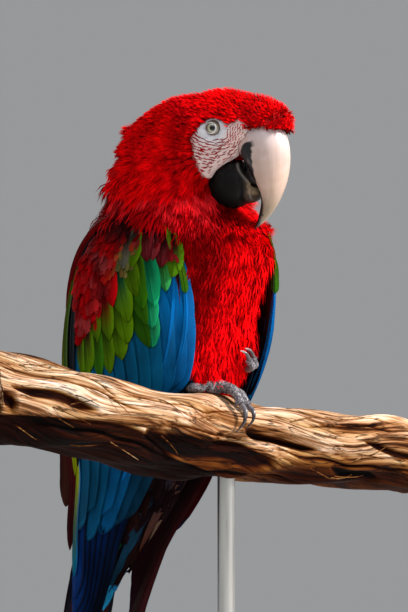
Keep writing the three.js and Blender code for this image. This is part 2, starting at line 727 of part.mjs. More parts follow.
place("shank_right", standingShank(0).subtract(grownFoot), FINISHES.foot);
place("foot_right", standingFoot, FINISHES.foot);
STANDING_TOES.forEach((toe) => {
  place(`claw_right_${toe.name}`, standingClaw(toe, 0).subtract(perchSolid(GAP)), FINISHES.claw);
});
place("foot_left", tuckedFoot, FINISHES.foot);
TUCKED.shifts.forEach((shift, i) => {
  place(`claw_left_${i + 2}`, tuckedClaw(shift, 0).subtract(tuckedToe(shift, GAP)), FINISHES.claw);
});

place("perch", perch, FINISHES.bark);
place("stand_rod", rodSolid(0), FINISHES.standMetal);
place("stand_collar", collarSolid(), FINISHES.standMetal);
place("stand_base", baseSolid(), FINISHES.standWood);

export default model;
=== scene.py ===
"""Looks of a life-size green-winged macaw on a cut branch, as a still museum model.

Shape functions work in millimetres, in the same frame as the solids; meshes are in metres.
The bird's breast faces -Y and its left side is +X.
"""

import math

import bmesh
import bpy
import numpy as np
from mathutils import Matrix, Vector
from mathutils.bvhtree import BVHTree


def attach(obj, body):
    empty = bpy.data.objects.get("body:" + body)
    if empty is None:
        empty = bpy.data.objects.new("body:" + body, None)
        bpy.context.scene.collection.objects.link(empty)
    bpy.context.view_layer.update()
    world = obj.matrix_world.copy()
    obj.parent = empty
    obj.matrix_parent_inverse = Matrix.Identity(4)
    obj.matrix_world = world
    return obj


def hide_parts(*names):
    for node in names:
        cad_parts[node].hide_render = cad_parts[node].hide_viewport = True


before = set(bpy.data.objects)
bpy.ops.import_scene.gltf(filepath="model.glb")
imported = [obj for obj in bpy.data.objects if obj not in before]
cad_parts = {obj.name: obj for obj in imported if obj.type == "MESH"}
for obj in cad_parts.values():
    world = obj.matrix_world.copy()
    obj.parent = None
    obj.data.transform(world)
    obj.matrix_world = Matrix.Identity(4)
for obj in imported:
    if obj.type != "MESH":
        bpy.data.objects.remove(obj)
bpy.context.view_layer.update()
MM = 0.001
RIGHT, LEFT = -1, 1
SIDES = {"right": RIGHT, "left": LEFT}
FULL_TURN = 2 * math.pi
BAKE_MAP = "OFBake"
chance = np.random.default_rng(11)


# ---- small mathematics
def vec(*values):
    return np.array(values, float)


def ease(x, low, high):
    """Rises smoothly from 0 at low to 1 at high."""
    t = np.clip((np.asarray(x, float) - low) / (high - low), 0, 1)
    return t * t * (3 - 2 * t)


def mix(a, b, share):
    """Between a and b; colours and directions keep their last axis."""
    share, a, b = (np.asarray(v, float) for v in (share, a, b))
    wide = max(a.shape[-1:] or (1,), b.shape[-1:] or (1,))[0]
    if wide == 3 and share.shape[-1:] != (3,) and share.ndim:
        share = share[..., None]
    return a + (b - a) * share


def layered(value, *layers):
    """Lays values over one another: each layer is a value and its share."""
    for over, share in layers:
        value = mix(value, over, share)
    return value


def unit(v):
    return v / np.maximum(np.linalg.norm(v, axis=-1, keepdims=True), 1e-9)


def along_surface(direction, normal):
    """What is left of a direction without its part along the normal."""
    return direction - (direction * normal).sum(-1, keepdims=True) * normal


def turn_between(a, b):
    """The angle from b to a, from minus to plus half a turn."""
    return np.arctan2(np.sin(a - b), np.cos(a - b))


def hump(x, wide):
    """A smooth rise to 1 where x is 0."""
    return np.exp(-((x / wide) ** 2))


def circle(count):
    return np.linspace(0, FULL_TURN, count, endpoint=False)


def through(table, at):
    """A smooth curve through the rows of a table, whose first column is the position."""
    table = np.array(table, float)
    t, v = table[:, 0], table[:, 1:]
    at = np.clip(np.asarray(at, float), t[0], t[-1])
    i = np.clip(np.searchsorted(t, at, side="right"), 1, len(t) - 1)
    before = np.where(i == 1, i, i - 2)
    after = np.where(i == len(t) - 1, i - 1, np.minimum(i + 1, len(t) - 1))
    half = (t[i] - t[i - 1]) / 2
    wp, wn = half / (t[i - 1] - t[before]), half / (t[after] - t[i])
    p = (at - t[i - 1]) / (t[i] - t[i - 1])
    shares = (
        -wp * p**3 + 2 * wp * p**2 - wp * p,
        (1 + wp) * p**3 + (-1.5 - 2 * wp) * p**2 + (-0.5 + wp) * p + 1,
        (-1 - wn) * p**3 + (1.5 + wn) * p**2 + 0.5 * p,
        wn * p**3 - wn * p**2,
    )
    return sum(s[..., None] * v[k] for s, k in zip(shares, (before, i - 1, i, after)))


def along(points, share):
    """Points on a smooth curve through a few stations, share 0 to 1."""
    points = np.array(points, float)
    if points.ndim == 1:
        points = points[:, None]
    return through(np.column_stack([np.linspace(0, 1, len(points)), points]), share)


def ripple(p, size, seed=0):
    """Smooth unevenness from -1 to 1 over places p, with waves of about the given size."""
    total = 0
    for k in range(4):
        turn = np.sin(np.arange(3) * 2.1 + k * 1.7 + seed) * (1 + 0.35 * k)
        total = total + np.sin(p @ turn * (FULL_TURN / size) / 1.4 + seed * 1.3 + k * 2.4)
    return total / 4


def polygon_distance(points, corners):
    """Signed distance from points in a plane to a closed polygon, negative inside."""
    corners = np.array(corners, float)
    nearest, inside = np.full(len(points), 1e9), np.zeros(len(points), bool)
    for a, b in zip(corners, np.roll(corners, -1, axis=0)):
        edge, start = b - a, points - a
        share = np.clip(start @ edge / (edge @ edge), 0, 1)
        nearest = np.minimum(nearest, np.linalg.norm(start - share[:, None] * edge, axis=1))
        crosses = (a[1] > points[:, 1]) != (b[1] > points[:, 1])
        rise = edge[1] if abs(edge[1]) > 1e-9 else 1e-9
        inside ^= crosses & (points[:, 0] < a[0] + edge[0] * (points[:, 1] - a[1]) / rise)
    return np.where(inside, -nearest, nearest)


# ---- meshes from rings and sheets
class Pile:
    """Gathers shapes, with values at their points, into one mesh."""

    def __init__(self):
        self.points, self.faces, self.values, self.count = [], [], {}, 0

    def add(self, points, faces, **values):
        points = np.asarray(points, float).reshape(-1, 3)
        self.points.append(points)
        self.faces.extend((np.asarray(face) + self.count).tolist() for face in faces)
        for name, value in values.items():
            value = np.asarray(value, float)
            single = value.ndim == 0 or value.shape == (len(points),)
            wide = (len(points),) if single else (len(points), value.shape[-1])
            self.values.setdefault(name, []).append(np.broadcast_to(value, wide))
        self.count += len(points)

    def mesh(self, name):
        mesh = bpy.data.meshes.new(name)
        mesh.from_pydata((np.concatenate(self.points) * MM).tolist(), [], self.faces)
        mesh.shade_smooth()
        for key, parts in self.values.items():
            (set_map if key == BAKE_MAP else set_values)(mesh, key, np.concatenate(parts))
        return mesh


def set_values(mesh, name, value):
    kind, field = {
        1: ("FLOAT", "value"), 3: ("FLOAT_VECTOR", "vector"), 4: ("FLOAT_COLOR", "color"),
    }[1 if value.ndim == 1 else value.shape[1]]
    attribute = mesh.attributes.new(name, kind, "POINT")
    attribute.data.foreach_set(field, np.ascontiguousarray(value, np.float32).ravel())


def set_map(mesh, name, places):
    corners = np.empty(len(mesh.loops), np.int32)
    mesh.loops.foreach_get("vertex_index", corners)
    layer = mesh.uv_layers.new(name=name)
    layer.uv.foreach_set("vector", np.ascontiguousarray(places[corners], np.float32).ravel())


def ring_faces(rows, around, closed=True):
    """Faces of a tube of rings; closed ends meet at the last two points."""
    faces = []
    for j in range(rows - 1):
        for i in range(around):
            a, b = j * around + i, j * around + (i + 1) % around
            faces.append((a, b, b + around, a + around))
    if closed:
        start, end, last = rows * around, rows * around + 1, (rows - 1) * around
        for i in range(around):
            k = (i + 1) % around
            faces += [(k, i, start), (last + i, last + k, end)]
    return faces


def capped(rings):
    """The points of a tube of rings, with the middle of each end added."""
    rings = np.asarray(rings, float)
    flat = rings.reshape(-1, rings.shape[-1])
    return np.concatenate([flat, rings[:1].mean(axis=1), rings[-1:].mean(axis=1)])


def outwards(mesh):
    """The mesh with doubles merged and its faces pointing outwards."""
    shape = bmesh.new()
    shape.from_mesh(mesh)
    bmesh.ops.remove_doubles(shape, verts=shape.verts, dist=1e-6)
    bmesh.ops.recalc_face_normals(shape, faces=shape.faces)
    shape.to_mesh(mesh)
    shape.free()
    mesh.shade_smooth()
    return mesh


def put(name, data):
    """A new object in the scene."""
    thing = bpy.data.objects.new(name, data)
    bpy.context.scene.collection.objects.link(thing)
    return thing


def piece(name, mesh, material, slot, *nodes):
    """Shows a finished mesh as a piece of the model, in place of CAD nodes."""
    thing = put(name, mesh)
    if material:
        mesh.materials.clear()
        mesh.materials.append(material)
    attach(thing, "root")
    if nodes:
        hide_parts(*nodes)


def finished_mesh(thing):
    """The plain mesh that an object's modifiers give; the object is removed."""
    shown = thing.evaluated_get(bpy.context.evaluated_depsgraph_get())
    mesh = bpy.data.meshes.new_from_object(shown)
    bpy.data.objects.remove(thing)
    return mesh


def worked(mesh, *modifiers):
    """The mesh after modifiers, each a kind and its settings."""
    thing = put("work", mesh)
    for kind, settings in modifiers:
        modifier = thing.modifiers.new(kind, kind)
        for key, value in settings.items():
            setattr(modifier, key, value)
    return finished_mesh(thing)


def melted(mesh, grain, rounds):
    """Overlapping closed shapes as one smooth skin."""
    mesh = worked(mesh, ("REMESH", {"mode": "VOXEL", "voxel_size": grain * MM}), ("SMOOTH", {"iterations": rounds}))
    mesh.shade_smooth()
    return mesh


def places(mesh):
    """Points and outward normals of a mesh, points in millimetres."""
    co, normal = np.empty(len(mesh.vertices) * 3), np.empty(len(mesh.vertices) * 3)
    mesh.vertices.foreach_get("co", co)
    mesh.vertex_normals.foreach_get("vector", normal)
    return co.reshape(-1, 3) / MM, normal.reshape(-1, 3)


def move_points(mesh, points):
    mesh.vertices.foreach_set("co", np.ascontiguousarray(points * MM, np.float32).ravel())
    mesh.update()


def joined_nodes(names, grow):
    """One loose mesh of several CAD nodes, each grown by a little so that they meet."""
    shape = bmesh.new()
    for name in names:
        shape.from_mesh(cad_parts[name].data)
    bmesh.ops.remove_doubles(shape, verts=shape.verts, dist=1e-5)
    shape.normal_update()
    for v in shape.verts:
        v.co += v.normal * grow * MM
    mesh = bpy.data.meshes.new("joined")
    shape.to_mesh(mesh)
    shape.free()
    return mesh


# ---- node trees
class Nodes:
    """A node tree, with short names for the nodes used most."""

    def __init__(self, tree):
        self.tree = tree

    def add(self, kind, inputs=None, **settings):
        """Adds a node; an input is a number, a colour, another node or one of its outputs."""
        made = self.tree.nodes.new(kind)
        for key, value in settings.items():
            setattr(made, key, value)
        for key, value in (inputs or {}).items():
            self.set(made.inputs[key], value)
        return made

    def set(self, socket, value):
        if isinstance(value, bpy.types.Node):
            value = value.outputs[0]
        if isinstance(value, bpy.types.NodeSocket):
            self.tree.links.new(value, socket)
        else:
            socket.default_value = value

    def maths(self, operation, *values):
        return self.add("ShaderNodeMath", dict(enumerate(values)), operation=operation)

    def times(self, a, b):
        return self.maths("MULTIPLY", a, b)

    def vectors(self, operation, a, b):
        return self.add("ShaderNodeVectorMath", {0: a, 1: b}, operation=operation)

    def scaled(self, vector, scale):
        return self.add("ShaderNodeVectorMath", {0: vector, "Scale": scale}, operation="SCALE")

    def spread(self, value, low, high, to_low, to_high):
        """Brings values between low and high to lie between to_low and to_high."""
        return self.add("ShaderNodeMapRange", {0: value, 1: low, 2: high, 3: to_low, 4: to_high})

    def ramp(self, factor, *stops):
        made = self.add("ShaderNodeValToRGB", {0: factor})
        elements = made.color_ramp.elements
        while len(elements) < len(stops):
            elements.new(0.5)
        for element, (at, colour) in zip(elements, stops):
            element.position, element.color = at, (*colour, 1)
        return made

    def noise(self, place, scale, detail=3.0, stretch=(1, 1, 1)):
        moved = self.add("ShaderNodeMapping", {"Vector": place, "Scale": stretch})
        return self.add("ShaderNodeTexNoise", {"Vector": moved, "Scale": scale, "Detail": detail})

    def cells(self, place, scale, **settings):
        return self.add("ShaderNodeTexVoronoi", {"Vector": place, "Scale": scale}, **settings)

    def tinted(self, first, second, how, share):
        return self.add(
            "ShaderNodeMix", {0: share, 6: first, 7: second}, data_type="RGBA", blend_type=how,
        ).outputs[2]

    def painted(self, name, kind="Color"):
        """A value that the mesh carries."""
        return self.add("ShaderNodeAttribute", attribute_name=name).outputs[kind]


def finish(name, build, **surface):
    """A material: build(tree, place) returns its colour, roughness and height with its depth."""
    material = bpy.data.materials.new(name)
    material.use_nodes = True
    tree = Nodes(material.node_tree)
    shader = material.node_tree.nodes["Principled BSDF"]
    for key, value in surface.items():
        shader.inputs[key.replace("_", " ")].default_value = value
    place = tree.add("ShaderNodeTexCoord").outputs["Object"]
    colour, roughness, height, depth = build(tree, place)
    tree.set(shader.inputs["Base Color"], colour)
    tree.set(shader.inputs["Roughness"], roughness)
    if height is not None:
        bump = tree.add("ShaderNodeBump", {"Height": height, "Distance": depth, "Strength": 1.0})
        tree.set(shader.inputs["Normal"], bump)
    return material


# ---- the bird's frames and levels
HEAD_CENTRE = vec(-10, -35, 717)
HEAD_TURN = math.radians(12)
FORWARD = vec(math.sin(HEAD_TURN), -math.cos(HEAD_TURN), 0)
LEFTWARD = vec(math.cos(HEAD_TURN), math.sin(HEAD_TURN), 0)
UP = vec(0, 0, 1)
# The eye's middle and radius, and how far in degrees it looks forward.
EYE = {"forward": 11.1, "up": 3.7, "out": 23.4, "radius": 7, "turned": 20}
# The bare skin of the face in profile (forward, up); it runs on under the bill.
FACE = [
    (-5, -4.6), (-1.3, 1.4), (2.7, 6.4), (7, 9.9), (13, 11.4), (19.5, 9.4), (25, 5.2), (27.5, 7.4), (32.5, 9.9),
    (38, 6.4), (39.5, -1.6), (60, -6.5), (60, -48), (16, -45), (7, -39), (3.2, -34.3), (1.7, -27.4), (-1.8, -20.5),
    (-3.4, -11.6),
]
PERCH = {"from": -300, "to": 240, "radius": 33, "y": -33, "height": 473.5, "fall": 0.105, "sag": 4.2}
WING_LEVELS = [  # height: middle along Y, half width, depth, front and rear edge in degrees
    (262, 114, 36, 8, 74, 100), (300, 100, 38.5, 20, 68, 112), (357, 82, 41, 31, 68, 116),
    (404, 68, 48, 41, 69, 126), (446, 54, 56, 54, 60, 128), (480, 45, 64, 63, 50, 135),
    (511, 37, 73, 73, 42, 143), (545, 29, 79, 79, 39, 150), (591, 22, 80, 80, 41, 151),
    (626, 14, 76, 77, 50, 143), (645, 8, 69, 72, 64, 126), (655, 5, 63, 66, 84, 104),
]
WING_TOP = 655


def floats(*values):
    return np.broadcast_arrays(*(np.asarray(v, float) for v in values))


def head_point(forward, left, up):
    f, l, u = floats(forward, left, up)
    return HEAD_CENTRE + f[..., None] * FORWARD + l[..., None] * LEFTWARD + u[..., None] * UP


def in_head(p):
    return (p - HEAD_CENTRE) @ np.stack([FORWARD, LEFTWARD, UP], axis=1)


def wing_lead(side, z):
    """How far the left wing's front edge stands further forward than the right one's."""
    return 7.5 * ease(z, 380, 450) * ease(WING_TOP - z, 0, 78) if side == LEFT else 0.0


def wing_point(side, z, u, depth):
    """A point of a folded wing: u from its leading to its trailing edge, depth inwards."""
    z, u, depth = floats(z, u, depth)
    y, wide, deep, front, rear = np.moveaxis(through(WING_LEVELS, z), -1, 0)
    angle, lead = np.radians(front + (rear - front) * u), wing_lead(side, z)
    x = side * ((wide - depth) * np.sin(angle) + 0.2 * lead)
    return np.stack([x, y - lead - (deep - depth) * np.cos(angle), z], axis=-1)


def wing_frame(side, z, u, depth):
    """Point, outward direction and forward direction on a wing."""
    here = wing_point(side, z, u, depth)
    out = unit(wing_point(side, z, u, np.asarray(depth) - 1) - here)
    return here, out, unit(wing_point(side, z, np.asarray(u) - 0.02, depth) - here)


def wing_angle(p, level, lead=0):
    """Degrees from straight ahead, round the middle that the wing levels give."""
    return np.degrees(np.arctan2(np.abs(p[:, 0]) / level[:, 1], -(p[:, 1] + lead - level[:, 0]) / level[:, 2]))


def wing_thickness(z, u):
    arm = mix(3.6, 24.0, ease(z, 440, 545)) * mix(0.4, 1.0, ease(WING_TOP - z, 0, 30))
    return 2.4 + (np.maximum(arm, 2.4) - 2.4) * np.sin(np.pi * np.clip(u, 0, 1)) ** 0.8


def perch_middle(x):
    bend = 2.2 * np.sin(x / 70) + 1.2 * np.sin(x / 31 + 1) + PERCH["sag"] * (1 - np.cos(x / 95))
    return np.stack([x, PERCH["y"] + 2 * np.sin(x / 55 + 2.3), PERCH["height"] - PERCH["fall"] * x + bend], axis=-1)


def perch_radius(x, angle):
    """Radius of the branch; the angle is 0 on top and grows towards the breast's side."""
    turned = angle + 0.011 * x
    opened = ease(x, -55, -15) * ease(-x, -130, -90)
    strands = 0.045 * np.cos(5 * turned) + 0.04 * np.cos(2 * turned + 1)
    return PERCH["radius"] * (1 + strands - x / 2600) - 9 * opened * hump(turn_between(angle, 1.65), 0.36)


def on_perch(x, angle, above):
    x, angle, above = floats(x, angle, above)
    reach = perch_radius(x, angle) + above
    away = np.stack([0 * reach, -np.sin(angle), np.cos(angle)], axis=-1)
    return perch_middle(x) + away * reach[..., None]


# ---- colours of the plumage
SCARLET = vec(0.86, 0.0012, 0.0016)
CRIMSON = vec(0.60, 0.0008, 0.004)
MAROON = vec(0.075, 0.005, 0.007)
RUSSET = vec(0.11, 0.030, 0.018)
OLIVE = vec(0.082, 0.185, 0.001)
LEAF = vec(0.045, 0.20, 0.004)
TEAL = vec(0.006, 0.31, 0.12)
AZURE = vec(0.0007, 0.13, 0.42)
OCEAN = vec(0.001, 0.085, 0.19)
ROYAL = vec(0.002, 0.035, 0.20)
SKY = vec(0.02, 0.30, 0.55)
NIGHT = vec(0.003, 0.006, 0.014)
ASH = vec(0.09, 0.085, 0.06)
YELLOW_GREEN = vec(0.28, 0.33, 0.004)


def rgba(colour):
    colour = np.asarray(colour, float)
    return np.concatenate([colour, np.ones(colour.shape[:-1] + (1,))], axis=-1)


# ---- materials
def plumage(name, fineness, dullness, gloss):
    """Feathers: the tint painted on them, with barbs that run out from the shaft."""

    def build(tree, place):
        wander = tree.times(tree.noise(place, 220, 2.0), 12.0)
        barbs = tree.maths("SINE", tree.maths("MULTIPLY_ADD", tree.painted("barb", "Fac"), fineness, wander))
        streak = tree.noise(place, 60, 4.0, (1, 1, 0.35))
        shade = tree.times(tree.spread(streak, 0.3, 0.7, 0.6, 1.35), tree.spread(barbs, -1.0, 1.0, 0.84, 1.08))
        rough = tree.spread(streak, 0.2, 0.8, dullness - 0.06, dullness + 0.1)
        return tree.scaled(tree.painted("tint"), shade), rough, barbs, 0.00008

    return finish(name, build, Specular_IOR_Level=gloss)


def under_skin(tree, place):
    """Skin: the markings of the plumage, with fine folds on the bare face."""
    mottle = tree.noise(place, 180, 5.0)
    folds = tree.maths("ADD", mottle, tree.cells(place, 520.0, feature="SMOOTH_F1"))
    colour = tree.scaled(tree.painted("tint"), tree.spread(mottle, 0.3, 0.7, 0.82, 1.08))
    return colour, 0.55, tree.times(tree.painted("bare", "Fac"), folds), 0.0005


def horn(tree, place):
    """The bill: pale horn with growth streaks, painted with the dark patches at its base."""
    streak = tree.noise(place, 90, 4.0, (1, 1, 0.12))
    cloud = tree.noise(place, 45, 3.0)
    shade = tree.times(tree.spread(streak, 0.3, 0.7, 0.88, 1.05), tree.spread(cloud, 0.3, 0.7, 0.9, 1.06))
    height = tree.maths("ADD", streak, tree.times(cloud, 0.5))
    return tree.scaled(tree.painted("tint"), shade), tree.spread(cloud, 0.3, 0.7, 0.26, 0.42), height, 0.0004


def dark_horn(tree, place):
    """The lower bill: matt and nearly black, scuffed grey here and there."""
    scuff = tree.noise(place, 160, 5.0, (1, 1, 0.4))
    worn = tree.spread(scuff, 0.52, 0.72, 0.0, 0.5)
    return tree.tinted(tree.painted("tint"), (0.022, 0.019, 0.019, 1), "MIX", worn), 0.55, scuff, 0.0006


def iris(tree, place):
    """The eye: rings of colour about the pupil, made uneven by fine rays."""
    rays = tree.noise(place, 900, 3.0)
    ring = tree.maths("MULTIPLY_ADD", rays, 0.03, tree.maths("SUBTRACT", tree.painted("ring", "Fac"), 0.015))
    colour = tree.ramp(
        ring,
        (0.0, (0.002, 0.002, 0.004)), (0.25, (0.002, 0.002, 0.004)), (0.29, (0.13, 0.14, 0.08)),
        (0.34, (0.42, 0.43, 0.28)), (0.43, (0.50, 0.48, 0.32)), (0.48, (0.14, 0.11, 0.08)),
        (0.53, (0.30, 0.26, 0.20)), (0.60, (0.10, 0.07, 0.05)), (1.0, (0.12, 0.08, 0.06)),
    )
    return colour, 0.08, None, 0


def scaly(tree, place):
    """Skin of the feet: grey scutes with pale rims and dark grooves."""
    groove = tree.spread(tree.cells(place, 560.0, feature="DISTANCE_TO_EDGE"), 0.0, 0.14, 0.15, 1.0)
    each = tree.cells(place, 560.0).outputs["Color"]
    tone = tree.ramp(each, (0.0, (0.10, 0.09, 0.11)), (0.5, (0.22, 0.20, 0.23)), (1.0, (0.40, 0.37, 0.40)))
    return tree.scaled(tone, groove), 0.42, groove, 0.0006


def claw_horn(tree, place):
    streak = tree.noise(place, 260, 3.0)
    return tree.scaled(tree.painted("tint"), tree.spread(streak, 0.3, 0.7, 0.75, 1.2)), 0.25, streak, 0.0003


def bark(tree, place):
    """Weathered fibrous wood: fibres along the branch and thin dark cracks, multiplied by the painted shade that the
    branch carries, which is dark in its crevices and hollows, under its ledge and on its underside.
    """
    grain, shade = tree.painted("grain", "Vector"), tree.painted("shade", "Fac")
    fine = tree.noise(grain, 1.0, 8.0, (9.0, 420.0, 420.0))
    broad = tree.noise(grain, 1.0, 5.0, (7.0, 95.0, 95.0))
    fibres = tree.maths("ADD", tree.times(fine, 0.5), tree.times(broad, 0.5))
    wood = tree.ramp(
        fibres, (0.38, (0.030, 0.010, 0.004)), (0.44, (0.19, 0.082, 0.034)), (0.49, (0.42, 0.24, 0.14)),
        (0.55, (0.62, 0.44, 0.32)), (0.63, (0.84, 0.72, 0.62)),
    )
    golden = tree.spread(tree.noise(place, 14.0, 4.0), 0.42, 0.62, 0.0, 0.5)
    warm = tree.tinted(wood, (0.84, 0.60, 0.36, 1), "MULTIPLY", golden)
    # the branch's painted shade, made warmer as it grows darker
    warm_painted_shade = tree.add(
        "ShaderNodeCombineXYZ", {0: shade, 1: tree.maths("POWER", shade, 1.45), 2: tree.maths("POWER", shade, 2.3)},
    )
    wandering = tree.noise(grain, 1.0, 4.0, (8.0, 170.0, 170.0))
    from_crack = tree.maths("ABSOLUTE", tree.maths("SUBTRACT", wandering, 0.5))
    crack = tree.spread(from_crack, 0.003, 0.022, 0.22, 1.0)
    colour = tree.vectors("MULTIPLY", tree.vectors("MULTIPLY", warm, crack), warm_painted_shade)
    return colour, 0.85, tree.maths("ADD", fibres, tree.times(crack, 0.25)), 0.003


def stained_wood(tree, place):
    rings = tree.noise(place, 14, 6.0, (1, 9, 9))
    return tree.ramp(rings, (0.35, (0.020, 0.012, 0.008)), (0.65, (0.055, 0.032, 0.020))), 0.38, rings, 0.0004


def brushed_metal(tree, place):
    lines = tree.noise(place, 240, 2.0, (1, 1, 0.04))
    return (0.62, 0.61, 0.59, 1), tree.spread(lines, 0.3, 0.7, 0.25, 0.42), lines, 0.00008


def tongue_skin(tree, place):
    wrinkle = tree.noise(place, 300, 4.0)
    return tree.ramp(wrinkle, (0.3, (0.018, 0.014, 0.015)), (0.7, (0.06, 0.045, 0.045))), 0.4, wrinkle, 0.0005


def plain_floor(tree, place):
    return (0.80, 0.80, 0.78, 1), 0.7, tree.noise(place, 40, 2.0), 0.0004


FEATHER = plumage("soft feathers", 9000.0, 0.8, 0.015)
VANE = plumage("smooth vanes", 11000.0, 0.6, 0.035)
SKIN = finish("feathered skin", under_skin, Specular_IOR_Level=0.12)
HORN = finish("bill horn", horn, Coat_Weight=0.15, Coat_Roughness=0.3)
DARK_BILL = finish("dark bill horn", dark_horn, Specular_IOR_Level=0.08)
IRIS = finish("eye", iris, Coat_Weight=0.35, Coat_Roughness=0.02)
SCALES = finish("scaly feet", scaly)
CLAW = finish("claw horn", claw_horn, Coat_Weight=0.3, Coat_Roughness=0.2)
BARK = finish("weathered branch", bark, Specular_IOR_Level=0.04)
WOOD = finish("stained wood", stained_wood, Coat_Weight=0.3, Coat_Roughness=0.2)
METAL = finish("brushed steel", brushed_metal, Metallic=1.0)
TONGUE = finish("tongue skin", tongue_skin)
FLOOR = finish("plain floor", plain_floor)

# ---- camera, floor and light
AIM = vec(18, 0, 580)
AZIMUTH = math.radians(-50)
AWAY = 6000
HALF_SEEN = 244.8  # half the height that the camera takes in
FLOOR_REACH = 2600
scene = bpy.context.scene
lens = bpy.data.cameras.new("view")
lens.sensor_fit = "VERTICAL"
lens.angle = 2 * math.atan(HALF_SEEN / AWAY)
lens.clip_end = 40
viewer = put("view", lens)
viewer.location = Vector((AIM + AWAY * vec(math.sin(AZIMUTH), -math.cos(AZIMUTH), 0)) * MM)
viewer.rotation_euler = (math.pi / 2, 0, AZIMUTH)
scene.camera = viewer

ground = Pile()
ground.add([(x * FLOOR_REACH, y * FLOOR_REACH, -1) for x, y in ((-1, -1), (1, -1), (1, 1), (-1, 1))], [(0, 1, 2, 3)])
floor = put("floor", ground.mesh("floor"))
floor.data.materials.append(FLOOR)

for name, place, aim, size, power, colour in (
    ("key", (1.25, -2.1, 2.45), (0, 0, 0.6), 0.5, 185, (1.0, 0.97, 0.92)),
    ("sky", (-1.8, -1.0, 2.4), (0, 0, 0.5), 1.6, 22, (0.92, 0.96, 1.0)),
    ("rear", (1.2, 2.2, 1.6), (0, 0, 0.5), 1.6, 28, (1.0, 0.98, 0.95)),
):
    lamp = bpy.data.lights.new(name, "AREA")
    lamp.size, lamp.energy, lamp.color = size, power, colour
    soft_light = put(name, lamp)
    soft_light.location = place
    soft_light.rotation_euler = (Vector(aim) - Vector(place)).to_track_quat("-Z", "Y").to_euler()
scene.world = bpy.data.worlds.new("studio")
scene.world.use_nodes = True
studio = scene.world.node_tree.nodes["Background"].inputs
studio["Color"].default_value, studio["Strength"].default_value = (0.86, 0.88, 0.90, 1), 0.36
scene.view_settings.view_transform = "Standard"


# ---- small feathers, by geometry nodes
def template(name, points, faces, barbed=1.0):
    """A feather of unit length along +Y, kept aside to be set many times. Its shade value darkens it towards the root:
    painted shade under the feathers that lie over it.
    """
    points = np.array(points)
    pile = Pile()
    pile.add(
        # shade: painted shade, darker at the root and lighter at the tip
        points / MM, faces, shade=0.66 + 0.42 * ease(points[:, 1], 0.15, 0.9),
        barb=barbed * (points[:, 1] - 1.6 * np.abs(points[:, 0])), patch=points * [1, 1, 0] - [0, 0.5, 0],
    )
    return put(name, pile.mesh(name))


def arch(y):
    """How high a feather stands: it rises from its root and lies level at its end."""
    return 1 - (1 - min(y / 0.75, 1)) ** 2


def vane_mesh(name, barbs, fringe, bend=0.3, width=1.0):
    """A soft body feather: a blade whose barbs come apart at the edge."""
    steps = np.linspace(0, 1, barbs + 1)
    shaft_y = 0.04 + 0.76 * steps
    swell = np.sin(math.pi * (0.16 + 0.74 * steps)) ** 0.7 * 0.5 * width
    points, faces, ends = [(0, y, bend * arch(y) + 0.02) for y in shaft_y], [], []
    for side in (-1, 1):
        first = len(points)
        for k in range(barbs + 1):
            y, x = shaft_y[k] + 0.10 + 0.05 * steps[k], side * swell[k] * (1 - fringe)
            points.append((x, y, bend * arch(y) - 0.16 * abs(x)))
        for k in range(barbs):
            m, end = first + k, len(points)
            faces.append((k, k + 1, m + 1, m)[::side])
            y = shaft_y[k] + 0.22 + 0.05 * steps[k] + 0.04 * math.sin(5 * k + side)
            x = side * swell[k] * (1 + fringe * (0.25 + 0.4 * math.sin(3.1 * k + 2 * side)))
            points.append((x, y, bend * arch(y) - 0.3 * abs(x) + 0.03 * math.sin(7 * k)))
            faces.append((m, m + 1, end) if side > 0 else (m + 1, m, end))
        ends.append(first + barbs)
    tip = len(points)
    points += [(x * width, y, bend * arch(y) - 0.02) for x, y in ((-0.1, 0.97), (0.0, 1.02), (0.11, 0.95))]
    faces += [(ends[0], tip, barbs), (barbs, tip, tip + 1), (barbs, tip + 1, tip + 2), (barbs, tip + 2, ends[1])]
    return template(name, points, faces)


def tuft_mesh(name, barbs, spread, width, bend=0.3, parted=0.55):
    """A plush tuft: separate barbs that fan out from one root."""
    points, faces = [], []
    for k in range(barbs):
        lean = spread * (2 * k / (barbs - 1) - 1)
        length = 1 - 0.35 * abs(lean) - 0.12 * (k * 5 % 3) / 2
        height = bend + 0.10 * math.sin(4 * k + 1)
        first = len(points)
        for t, half in ((0, 0.4 * width), (parted, 0.5 * width), (1, 0)):
            x, y, z = lean * (0.2 + 0.8 * t) * (0.7 + 0.3 * t), length * t, height * arch(t)
            points += [(x - half, y, z), (x + half, y, z)] if half else [(x, y, z)]
        faces += [(first, first + 1, first + 3, first + 2), (first + 2, first + 3, first + 4)]
    return template(name, points, faces, barbed=0.0)


PATCH = 0.003  # size of one small feather in the bake map
CLOSEST = 900000.0  # feathers to a square metre before the spacing thins them


